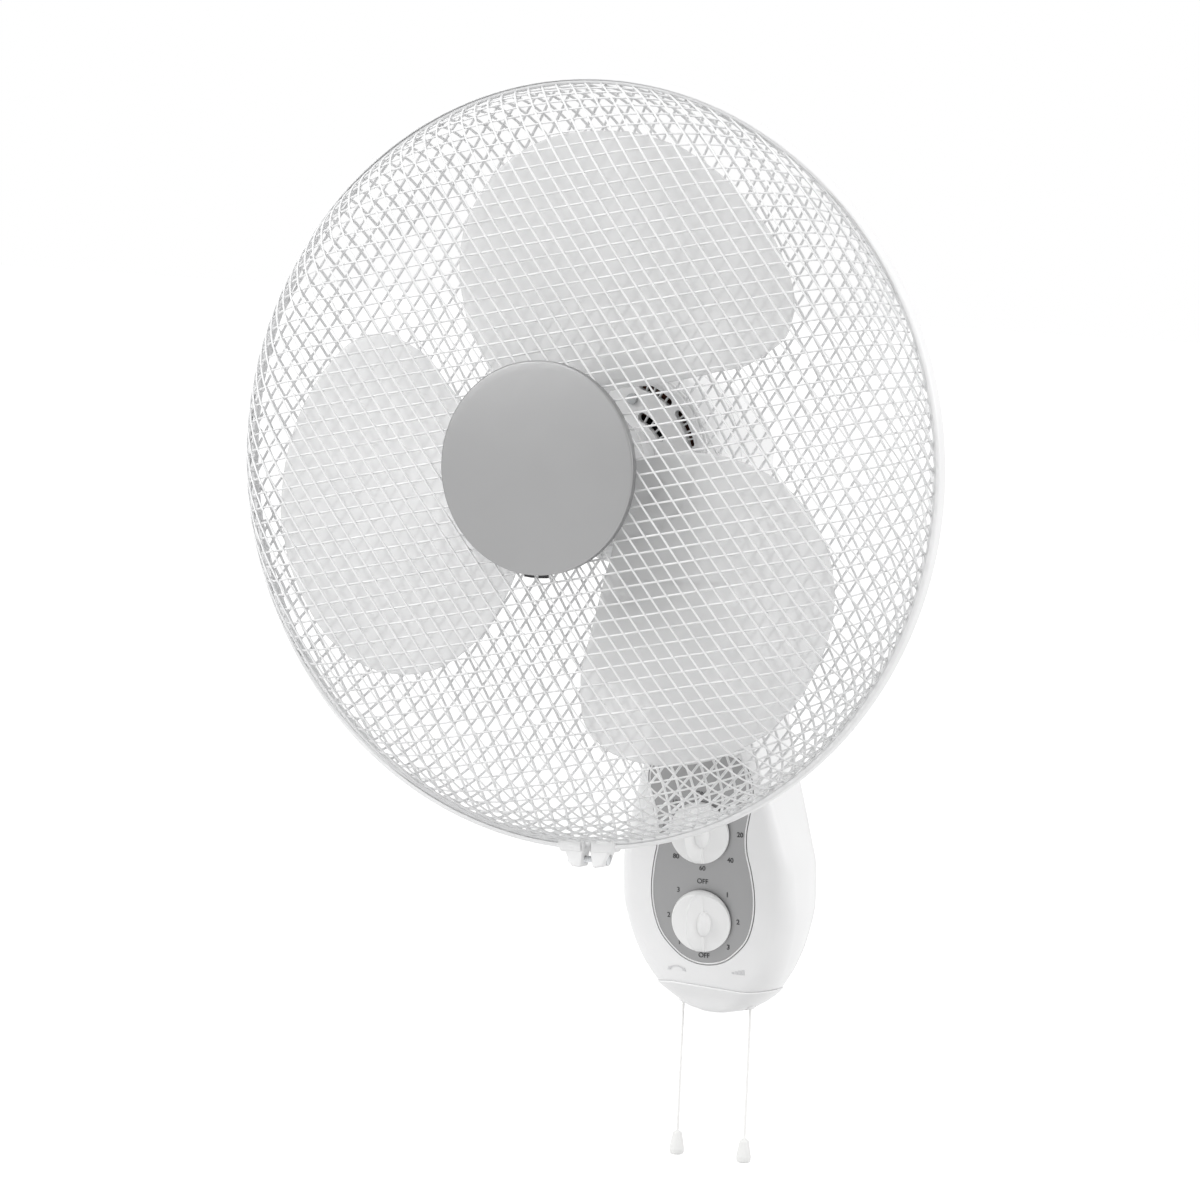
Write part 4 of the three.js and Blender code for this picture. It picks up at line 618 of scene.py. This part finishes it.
# Depth of the rear shell, then its radius there.
HOUSING = [[76, 60], [88, 58.5], [104, 54], [121, 48], [142, 44], [158, 41.5], [170, 36], [176.5, 24],
           [179, 0]]
SCREWS = [polar(35.7, 82 + 120 * k) for k in range(3)]
def motor():
    cover = filleted([(4.5, 30), (13, 30, 1), (13, 46.6), (54, 46.6, 2), (60, 52.6, 5), (60, 75.7, 0.5),
                      (57.5, 75.7), (57.5, 54.1, 4), (52.5, 49.1, 2), (14.3, 49.1), (14.3, 57),
                      (11.3, 57), (11.3, 50), (4.5, 50)], steps=5)
    bores = merged(*[rod(1.9, "y", 44, 60, (x, 0, z), 20, 0) for x, z in SCREWS])
    ribs = []
    for r0, r1, count in ((24.4, 30.8, 36), (41.6, 47.0, 60)):
        for k in range(count):
            c, s = polar(1, 360 / count * (k + 0.3))
            ribs.append(loft([[(r * c - w * s, y, r * s + w * c) for r, w in
                               ((r0, -0.45), (r1, -0.45), (r1, 0.45), (r0, 0.45))] for y in (47.4, 49.0)]))
    shape = carve(lathe(cover, 128, closed=True),
                  [(CUT, slot_cutter(OUTER, 44, 52)), (CUT, slot_cutter(INNER, 44, 52)),
                   (CUT, slot_cutter(GROOVE, 44, 47.4)), (CUT, bores)])
    piece("motor_cover_front", *merged(shape, *ribs), SHELL, "fan_head", ["motor_front_cover"],
          "shell_white", HEAD, sharp=32)
    disc = filleted([(13.3, 44.5), (54, 44.5, 0.6), (54, 46.0, 0.3), (13.3, 46.0)], steps=3)
    shape = carve(lathe(disc, 128, closed=True),
                  [(CUT, slot_cutter(OUTER, 42, 50)), (CUT, slot_cutter(INNER, 42, 50)), (CUT, bores)])
    piece("grille_seat_plate", *shape, SHELL, "fan_head", ["grille_plate"], "shell_white", HEAD, sharp=32)
    nut = filleted([(13.3, 32.2), (17, 32.2, 1), (21, 37, 2), (21, 44.2, 0.6), (13.3, 44.2)], steps=4)
    piece("grille_ring_nut", *scalloped(lathe(nut, 120, closed=True), 18, 10, 0.05), SHELL, "fan_head",
          ["grille_lock_nut"], "shell_white", HEAD)
    depths = [76 + 103 * (1 - (1 - k / 40) ** 2.2) for k in range(41)]
    outer = [(along(HOUSING, y), y) for y in depths]
    outer[-1] = (0, 179)
    inner = [(max(r - 2.5, 0), y - 2.5 * (1 - r / 60)) for r, y in outer]
    shell = lathe([(0, 76)] + outer, 128)
    hollow = lathe([(0, 74), (inner[0][0], 74)] + inner[1:], 128)
    low = 170 - AXIS_Z
    skirt = rod(37, "z", low, -38, (0, 121, 0), 96, 1.0)
    bore = rod(34, "z", low - 5, -39, (0, 121, 0), 96, 0)
    shape = carve(shell, [(ADD, skirt), (CUT, hollow), (CUT, bore)])
    piece("motor_cover_rear", *shape, SHELL, "fan_head", ["motor_rear_housing"], "shell_white", HEAD,
          sharp=32)
motor()

# ---- Neck: barrel, column and flange -----------------------------------------
def neck():
    barrel = rod(25.5, "x", -24.6, 24.6, (0, 0, TILT_Z), 128, 1.2)
    column = rod(20, "z", TILT_Z, 161, sides=96, edge=0)
    flange = rod(33, "z", 160, 168, sides=128, edge=1.6)
    pin = rod(2, "z", 167, 176.7, (11, 0, 0), 24, 0.3)
    bolt = rod(BOLT_R, "x", -39, 39, (0, 0, TILT_Z), 32, 0)
    post = rod(5.06, "z", 139.7, 169, sides=48, edge=0)
    shape = carve(barrel, [(ADD, column), (ADD, flange), (ADD, pin), (CUT, bolt), (CUT, post)])
    piece("neck_casting", *shape, SHELL, "neck", ["neck"], "shell_white", SWING, sharp=32)
neck()

# ---- Base --------------------------------------------------------------------
# Rows of height, then the half width, the corner radius or a shift in depth; the arm's are shares.
WIDTHS = [[-96, 9], [-93, 19], [-88, 25.5], [-78, 37.5], [-64, 46], [-46, 52.5], [-26, 56],
          [-5, 55.3], [13, 51], [37, 44.5], [62, 37.5], [80, 33.5], [94, 32], [104, 34], [114, 37.5],
          [122, 39], [130, 39]]
ARM_START, PLATE_HIGH, BACK = 68, 92, -2.8
LOW_END, CHIN_LEVEL, SEAM_LEVEL, HOUSING_LEVEL = -96, -86.6, -78, -62
ARM_FRONT = [[0, 0], [0.19, 0.03], [0.32, 0.09], [0.42, 0.19], [0.52, 0.38], [0.58, 0.57],
             [0.71, 0.84], [0.87, 0.96], [1, 1]]
ARM_BACK = [[0, 0], [0.16, 0.06], [0.37, 0.22], [0.58, 0.43], [0.79, 0.69], [1, 1]]
SHOULDER = [[-96, 12], [-86, 15.5], [-76, 17], [-62, 14.5], [-38, 11.5], [-10, 10], [40, 8], [90, 8],
            [130, 14]]
CHIN_FRONT = [[-96, 8.5], [-94, 7.5], [-91, 6.8], [-86, 6], [-80, 3], [-74, 1], [-64, 0]]
CHIN_BACK = [[-96, -8], [-92, -3], [-88, 0]]

def front_y(z):
    plane = SPEED_Y - math.tan(LEAN) * (z - SPEED_Z) + along(CHIN_FRONT, z)
    if z <= ARM_START:
        return plane
    return plane + (PIVOT_Y - 26 - plane) * along(ARM_FRONT, (z - ARM_START) / (TILT_Z - ARM_START))

def back_y(z):
    if z <= PLATE_HIGH:
        return BACK + along(CHIN_BACK, z)
    return BACK + (PIVOT_Y + 43 - BACK) * along(ARM_BACK, (z - PLATE_HIGH) / (TILT_Z - PLATE_HIGH))

def base_ring(z, inset_by=0.0, puff=0.0):
    """Level outline of the base at height z, with rounded shoulders and heels."""
    w = along(WIDTHS, z) - inset_by + puff
    front = front_y(z) + inset_by - puff
    back = 3 if inset_by > 2 else back_y(z)
    room = (back - front) / 2.4
    shoulder = min(along(SHOULDER, z) - inset_by * 0.5, room, w * 0.8)
    heel = min(5, room, w / 2)
    back_w = w - min(5, w / 3)
    right = []
    for k in range(5):
        a = math.radians(22.5 * k)
        right.append((back_w - heel * (1 - math.sin(a)), back - heel * (1 - math.cos(a))))
    for k in range(1, 4):
        t = k / 4
        y = back - heel + (front + shoulder - back + heel) * t
        right.append((back_w + (w - back_w) * (1 - (1 - t) ** 2.4), y))
    for k in range(9):
        a = math.radians(11.25 * k)
        right.append((w - shoulder * (1 - math.cos(a)), front + shoulder * (1 - math.sin(a))))
    left = [(-x, y) for x, y in reversed(right)]
    return [(x, y, z) for x, y in right + left]

PANEL_ROWS = [[-27.2, 0], [-25.5, 10], [-20.5, 18.5], [-10, 28], [4, 32.6], [18, 33.4], [32, 31.6],
              [44, 29], [55, 29], [66, 31.2], [78, 33.6], [90, 32.5], [99, 26], [103, 14], [104, 0]]
def panel_outline(margin=0.0):
    """Pear outline of the inlay, moved outward by the margin: a smooth curve through its rows."""
    pts = [Vector((w, s)) for s, w in PANEL_ROWS]
    pts += [Vector((-w, s)) for s, w in reversed(PANEL_ROWS[1:-1])]
    n = len(pts)
    out = []
    for i in range(n):
        p0, p1, p2, p3 = pts[i - 1], pts[i], pts[(i + 1) % n], pts[(i + 2) % n]
        for k in range(5):
            t = k / 5
            out.append(tuple(0.5 * ((2 * p1) + (p2 - p0) * t + (2 * p0 - 5 * p1 + 4 * p2 - p3) * t * t
                                    + (3 * p1 - p0 - 3 * p2 + p3) * t ** 3)))
    return inset(out, -margin) if margin else out

SEAM = [[-40, -0.6], [-34, 0.4], [-22, 1.9], [-10, 2.3], [4, 1.4], [16, 0.2], [25, -0.4], [33, 0.4],
        [40, 2.0]]
def seam_z(x):
    """Height of the waved joint between the housing and the chin cap."""
    return SEAM_LEVEL + along(SEAM, x)

def waved(share, start, gap=0.0, inset_by=0.0, puff=0.0):
    """Base outline between the level start (share 0) and the waved joint less a gap (share 1)."""
    level = base_ring(start + (SEAM_LEVEL - start) * share, inset_by, puff)
    out = []
    for k, (x, y, z) in enumerate(level):
        high = start + (seam_z(x) - gap - start) * share
        out.append(base_ring(high, inset_by, puff)[k])
    return out

def shaft_hole(s):
    return rod(SHAFT_HOLE_R, "y", -5, 9, (0, 0, s), 32, 0)

def base():
    low = [waved(1, HOUSING_LEVEL, -edge, slim) for edge, slim in ((0.0, 0.5), (0.05, 0.12), (0.25, 0.0))]
    low += [waved(share, HOUSING_LEVEL) for share in (0.9, 0.75, 0.6, 0.45, 0.3, 0.15)]
    outer = loft(low + [base_ring(HOUSING_LEVEL + 3.25 * k) for k in range(40)]
                 + [base_ring(ARM_START + 62 * k / 34) for k in range(1, 35)])
    inner = loft([base_ring(-84 + 164 * k / 31, 3.0) for k in range(32)])
    at = (0, PIVOT_Y, TILT_Z)
    ears = [rod(26, "x", side * 24.9, side * 39, at, 96, 1.0) for side in (-1, 1)]
    room = rod(26.4, "x", -24.9, 24.9, at, 96, 0)
    recess = moved(prism(panel_outline(0.6), -20, 1.6), PANEL)
    holes = [moved(shaft_hole(s), PANEL) for s in (0, SPACING)]
    seats = [rod(8, "x", side * 33, side * 41, at, 64, 0) for side in (-1, 1)]
    bolt = rod(BOLT_R, "x", -39.5, 39.5, at, 32, 0)
    shape = carve(outer, [(CUT, inner), (ADD, ears[0]), (ADD, ears[1]), (CUT, room), (CUT, recess),
                          (CUT, merged(*holes)), (CUT, merged(*seats)), (CUT, bolt)])
    piece("base_shell", *shape, SHELL, "base", ["base_housing"], "shell_white", sharp=28)

def chin():
    """Chin cap: a hollow lofted from its flat foot up to the waved joint."""
    rings, low = [], base_ring(LOW_END)
    middle = sum(y for _, y, _ in low) / len(low)
    for size, z in ((0.25, -94.2), (0.6, -94.05), (0.85, -93.85)):
        rings.append([(x * size, middle + (y - middle) * size, z) for x, y, _ in low])
    for k in range(11):
        ring = base_ring(LOW_END + 9.4 * (k / 10) ** 1.7, 0, 0.06 * k)
        rings.append([(x, y, CHIN_LEVEL + (z - CHIN_LEVEL) * 0.745) for x, y, z in ring])
    rings += [waved(share, CHIN_LEVEL, 0.1, 0, 0.6 + 0.5 * share)
              for share in (0.15, 0.3, 0.45, 0.6, 0.75, 0.85)]
    rings += [waved(1, CHIN_LEVEL, gap, 0, puff) for gap, puff in
              ((1.3, 1.1), (0.8, 1.0), (0.42, 0.75), (0.18, 0.45), (0.06, 0.1), (0.06, -0.6))]
    hollow = loft([[(x, min(y, -5.0), z) for x, y, _ in base_ring(z, 3.0, puff)] for z, puff in
                   ((-88.2, 0.2), (-86.5, 1.5), (-84.4, 2.2), (-82, 1.8), (-79, 0.8), (-77, 0), (-73, 0))])
    bores = [rod(3.1, "z", -101, -78, (side * CORD_X, CORD_Y, 0), 40, 0) for side in (-1, 1)]
    shape = carve(loft(rings), [(CUT, hollow), (CUT, merged(*bores))])
    piece("chin_cover", *shape, SHELL, "base", ["chin_cap"], "shell_white", sharp=28)
    collar = filleted([(1.3, -90.0, 0.3), (2.6, -90.0, 0.3), (3.0, -86.5), (1.3, -86.5)], steps=3)
    for name, x in (("swing", -CORD_X), ("speed", CORD_X)):
        piece(f"{name}_cord_eye", *lathe(collar, 40, closed=True), SHELL, "base", [f"{name}_grommet"],
              "shell_white", Matrix.Translation((x, CORD_Y, 0)) @ STAND)
base()
chin()

# ---- Inlay, its marks and the two knobs --------------------------------------
MARKS_R, INK_HALF, THIN, BOLD = 22.6, 0.00006, 0.00002, 0.00007
def words(text, size, at, name, weight):
    """Generic dial mark as thin raised ink, centred at (x, s) on the inlay."""
    data = bpy.data.curves.new(name, "FONT")
    data.body, data.size = text, size * MM
    data.align_x, data.align_y = "CENTER", "CENTER"
    data.extrude, data.offset = INK_HALF, weight
    obj = bpy.data.objects.new(name, data)
    scene.collection.objects.link(obj)
    graph = bpy.context.evaluated_depsgraph_get()
    mesh = bpy.data.meshes.new_from_object(obj.evaluated_get(graph))
    bpy.data.objects.remove(obj, do_unlink=True)
    scale = Matrix.Diagonal((1000, 1000, 1000, 1))
    place = PANEL @ Matrix.Translation((at[0], -0.05, at[1])) @ STAND @ scale
    verts = [tuple(place @ v.co) for v in mesh.vertices]
    piece(name, verts, [tuple(p.vertices) for p in mesh.polygons], INK, "base")

def emblem(name, outlines, at):
    """Generic raised sign on the housing under the inlay, as thin extruded outlines; their grey is painted
    shade of the relief on the white housing.
    """
    shapes = [prism([(at[0] + x, at[1] + z) for x, z in outline], 0.05, -0.1) for outline in outlines]
    piece(name, *merged(*shapes), RELIEF_SHADE_GREY, "base", (), "shell_white", PANEL)

def signs():
    """Two-way arrow for the swing and rising steps for the speed."""
    first, last, centre = 52, 128, -6.0
    turns = [first + (last - first) * k / 12 for k in range(13)]
    upper = [(x, z + centre) for x, z in (polar(7.4, a) for a in turns)]
    lower = [(x, z + centre) for x, z in (polar(6.7, a) for a in turns)]
    heads = []
    for turn, way in ((first, -1), (last, 1)):
        c, s = polar(1, turn)
        heads.append([(5.9 * c, 5.9 * s + centre), (8.2 * c, 8.2 * s + centre),
                      (7.05 * c - way * s * 2.2, 7.05 * s + way * c * 2.2 + centre)])
    heads[1].reverse()
    emblem("swing_sign", [upper + lower[::-1]] + heads, (-18.2, -31.0))
    steps = [[(x, -1.5), (x + 1.7, -1.5), (x + 1.7, -1.5 + h), (x, -1.5 + h)]
             for x, h in ((-4.1, 1.1), (-1.9, 1.9), (0.3, 2.6), (2.5, 3.2))]
    emblem("speed_sign", steps, (22.0, -29.6))
signs()

def inlay():
    rounding = [polar(0.3, 30 * k) for k in range(4)]
    rows = [(1.3, 0)] + [(0.45 - s, 0.3 - c) for c, s in rounding]
    face = carve(layers(panel_outline(), rows), [(CUT, merged(shaft_hole(0), shaft_hole(SPACING)))])
    rim = sweep([(x, 0.25, z) for x, z in panel_outline(-0.55)], 0.5, 8, closed=True, up=(0, 1, 0))
    piece("pear_inlay", *face, SILVER, "base", ["control_panel"], "silver_finish", PANEL, sharp=30)
    piece("inlay_rim", *rim, SHELL, "base", (), "shell_white", PANEL, sharp=60)
    for k, text in enumerate(["OFF", "1", "2", "3", "OFF", "1", "2", "3"]):
        x, s = polar(MARKS_R, 90 - 45 * k)
        words(text, 4.2, (x, s + 0.8), f"speed_mark_{k}", BOLD if k in (1, 2, 3) else THIN)
    for k, text in enumerate(["ON", "0", "20", "40", "60", "80", "100", "120"]):
        x, s = polar(MARKS_R, 90 - 45 * k)
        x += 2.4 if k in (1, 2, 3) else -1.1 if k == 5 else 0
        s += -0.9 if k == 5 else 0
        words(text, 4.1, (x, SPACING + s + 0.4), f"timer_mark_{k}", BOLD if k in (1, 2, 3) else THIN)
inlay()

def knob(name, at):
    """Round knob: an arched, bowed ridge, a finger rest beside it, and its right half falling away."""
    back, front, r = -0.6, -7.6, 18.4
    disc = filleted([(0, back), (r, back, 0.5), (r, back - 3.4, 2), (r - 1.2, front, 1.6), (0, front)],
                    closed=False, steps=6)
    rings, count = [], 40
    for i in range(count + 1):
        u = math.sin(math.pi / 2 * (2 * i / count - 1))
        arch = max(0.0, 1 - abs(u) ** 2.4) ** 0.75
        high, bow = 0.5 + 7.9 * arch, 4.0 * max(0.0, 1 - u * u) ** 0.6
        foot, top = 3.6 - 0.4 * u, front - high
        side = [(-0.7 - bow, front + 0.6), (-0.6 - bow, top, 0.5), (0.7 - bow, top, 0.35),
                (0.9 - bow, top + 0.35 * min(high, 1), 0.2), (foot, front - 0.1, 0.2), (foot, front + 0.6)]
        rings.append([(x, y, 17.2 * u) for x, y in filleted(side, steps=3)])
    fin = loft(rings)
    half_circle = [polar(1, 7.5 * k - 90) for k in range(1, 24)]
    verts, faces = lathe([(0, -1)] + half_circle + [(0, 1)], 48)
    bulge = ([(3.7 + 4.6 * x, front + 0.1 + 4.3 * y, -0.3 + 7.6 * z) for x, y, z in verts], faces)
    fall = [[(3.4, front - 14, z), (24, front - 14, z), (24, front + 5.6 + 0.06 * (17 - z), z),
             (3.4, front + 0.2 + 0.06 * (17 - z), z)] for z in (-24, 24)]
    shape = carve(lathe(disc, 96), [(ADD, fin), (CUT, loft(fall)), (ADD, bulge)])
    piece(f"{name}_dial", *shape, KNOB, f"{name}_knob", [f"{name}_knob"], "knob_white",
          PANEL @ Matrix.Translation((0, 0, at)), sharp=30)
knob("speed", 0)
knob("timer", SPACING)

# ---- Back plate --------------------------------------------------------------
def back_plate():
    outline = [(along(WIDTHS, z) - 7, z) for z in [-86 + 178 * k / 60 for k in range(61)]]
    outline += [(-x, z) for x, z in reversed(outline)]
    body = layers(outline, ((-2.5, 0.3), (-2.2, 0), (-0.3, 0), (0, 0.3)))
    cuts, pads = [], []
    for x in (-18, 18):
        pad = filleted([(x - 6.7, 52, 2), (x + 6.7, 52, 2), (x + 6.7, 78, 2), (x - 6.7, 78, 2)], steps=4)
        pads.append(layers(pad, ((-3.5, 0.3), (-3.2, 0), (-2, 0))))
        cuts.append(rod(5, "y", -4, 2, (x, 0, 62), 40, 0))
        slot = [(x - 2.6, 60), (x + 2.6, 60), (x + 2.6, 74, 2.6), (x - 2.6, 74, 2.6)]
        cuts.append(prism(filleted(slot, steps=8), -4, 2))
    cuts.append(rod(2.6, "y", -4, 2, (0, 0, -66), 32, 0))
    cuts.append(rod(6.3, "y", -4, 2, (0, 0, -30), 40, 0))
    for x, z in ((36, -36), (-36, -36), (0, 86)):
        cuts.append(rod(1.9, "y", -4, 2, (x, 0, z), 24, 0))
        cuts.append(rod(3.5, "y", -1.7, 2, (x, 0, z), 32, 0))
    for k in range(7):
        z = -6 + 9 * k
        bar = [(-14, z - 1.2, 1.1), (14, z - 1.2, 1.1), (14, z + 1.2, 1.1), (-14, z + 1.2, 1.1)]
        cuts.append(prism(filleted(bar), -0.7, 2))
    shape = carve(body, [(ADD, pad) for pad in pads] + [(CUT, c) for c in cuts])
    piece("wall_plate", *shape, SHELL, "base", ["back_plate"], "shell_white", sharp=30)
back_plate()

# ---- Solids that stay as they are, with their own finishes -------------------
KEPT = {
    "badge_backing": SHELL, "stator": WINDING, "rotor": DARK, "swing_carrier": DARK, "swing_motor": DARK,
    "timer_unit": DARK, "speed_switch": BLACK, "swing_switch": BLACK, "terminal_block": BLACK,
    "capacitor": BLACK, "cable_gland": RUBBER,
}
def dress_kept():
    """Finishes for every solid; those that a piece replaces are hidden and never seen in theirs."""
    for name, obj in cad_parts.items():
        for holder in obj.material_slots:
            holder.material = KEPT.get(name, STEEL)
dress_kept()

# ---- Floor, background and lamps ---------------------------------------------
def seen_rays(nodes, links):
    """1 for camera, glossy and transmission rays, 0 for the rays that light the object."""
    rays = nodes.new("ShaderNodeLightPath")
    found = rays.outputs["Is Camera Ray"]
    for kind in ("Is Glossy Ray", "Is Transmission Ray"):
        either = nodes.new("ShaderNodeMath")
        either.operation = "MAXIMUM"
        links.new(found, either.inputs[0])
        links.new(rays.outputs[kind], either.inputs[1])
        found = either.outputs[0]
    return found

def backdrop_material(name, level):
    mat = bpy.data.materials.new(name)
    mat.use_nodes = True
    nodes, links = mat.node_tree.nodes, mat.node_tree.links
    out = nodes["Material Output"]
    base = nodes["Principled BSDF"]
    base.inputs["Base Color"].default_value = (0.6, 0.6, 0.6, 1)
    base.inputs["Roughness"].default_value = 0.9
    glow = nodes.new("ShaderNodeEmission")
    glow.inputs["Color"].default_value = (level, level, level, 1)
    both = nodes.new("ShaderNodeAddShader")
    links.new(seen_rays(nodes, links), glow.inputs["Strength"])
    links.new(base.outputs[0], both.inputs[0])
    links.new(glow.outputs[0], both.inputs[1])
    links.new(both.outputs[0], out.inputs["Surface"])
    return mat

def stage():
    mesh = bpy.data.meshes.new("studio_floor")
    s, z = 30.0, -1.1
    mesh.from_pydata([(-s, -s, z), (s, -s, z), (s, s, z), (-s, s, z)], [], [(0, 1, 2, 3)])
    mesh.materials.append(backdrop_material("studio_floor", 0.65))
    floor = bpy.data.objects.new("studio_floor", mesh)
    scene.collection.objects.link(floor)
    world = bpy.data.worlds.new("studio")
    world.use_nodes = True
    scene.world = world
    nodes, links = world.node_tree.nodes, world.node_tree.links
    fill = nodes["Background"]
    fill.inputs["Color"].default_value = (1, 1, 1, 1)
    where = nodes.new("ShaderNodeTexCoord")
    facing = nodes.new("ShaderNodeVectorMath")
    facing.operation = "DOT_PRODUCT"
    facing.inputs[1].default_value = (0, -0.65, 0.5)
    slope = nodes.new("ShaderNodeMapRange")
    slope.inputs["From Min"].default_value = -1.0
    slope.inputs["To Min"].default_value = 0.4
    slope.inputs["To Max"].default_value = 1.12
    links.new(where.outputs["Generated"], facing.inputs[0])
    links.new(facing.outputs["Value"], slope.inputs["Value"])
    links.new(slope.outputs["Result"], fill.inputs["Strength"])
    seen = nodes.new("ShaderNodeBackground")
    seen.inputs["Color"].default_value = (1, 1, 1, 1)
    seen.inputs["Strength"].default_value = 1.0
    mix = nodes.new("ShaderNodeMixShader")
    links.new(seen_rays(nodes, links), mix.inputs["Fac"])
    links.new(fill.outputs[0], mix.inputs[1])
    links.new(seen.outputs[0], mix.inputs[2])
    links.new(mix.outputs[0], nodes["World Output"].inputs["Surface"])
    for name, at, aim, size, power in (
            ("key", (-1.9, -2.5, 1.5), (0, -0.2, 0.2), 1.2, 39),
            ("fill", (2.7, 0.1, 1.0), (0, -0.2, 0.1), 1.4, 23),
            ("top", (-0.4, -1.0, 2.8), (0, -0.2, 0.2), 1.2, 12)):
        data = bpy.data.lights.new(name, "AREA")
        data.size, data.energy = size, power
        lamp = bpy.data.objects.new(name, data)
        scene.collection.objects.link(lamp)
        lamp.location = at
        lamp.rotation_euler = (Vector(aim) - Vector(at)).to_track_quat("-Z", "Y").to_euler()
stage()
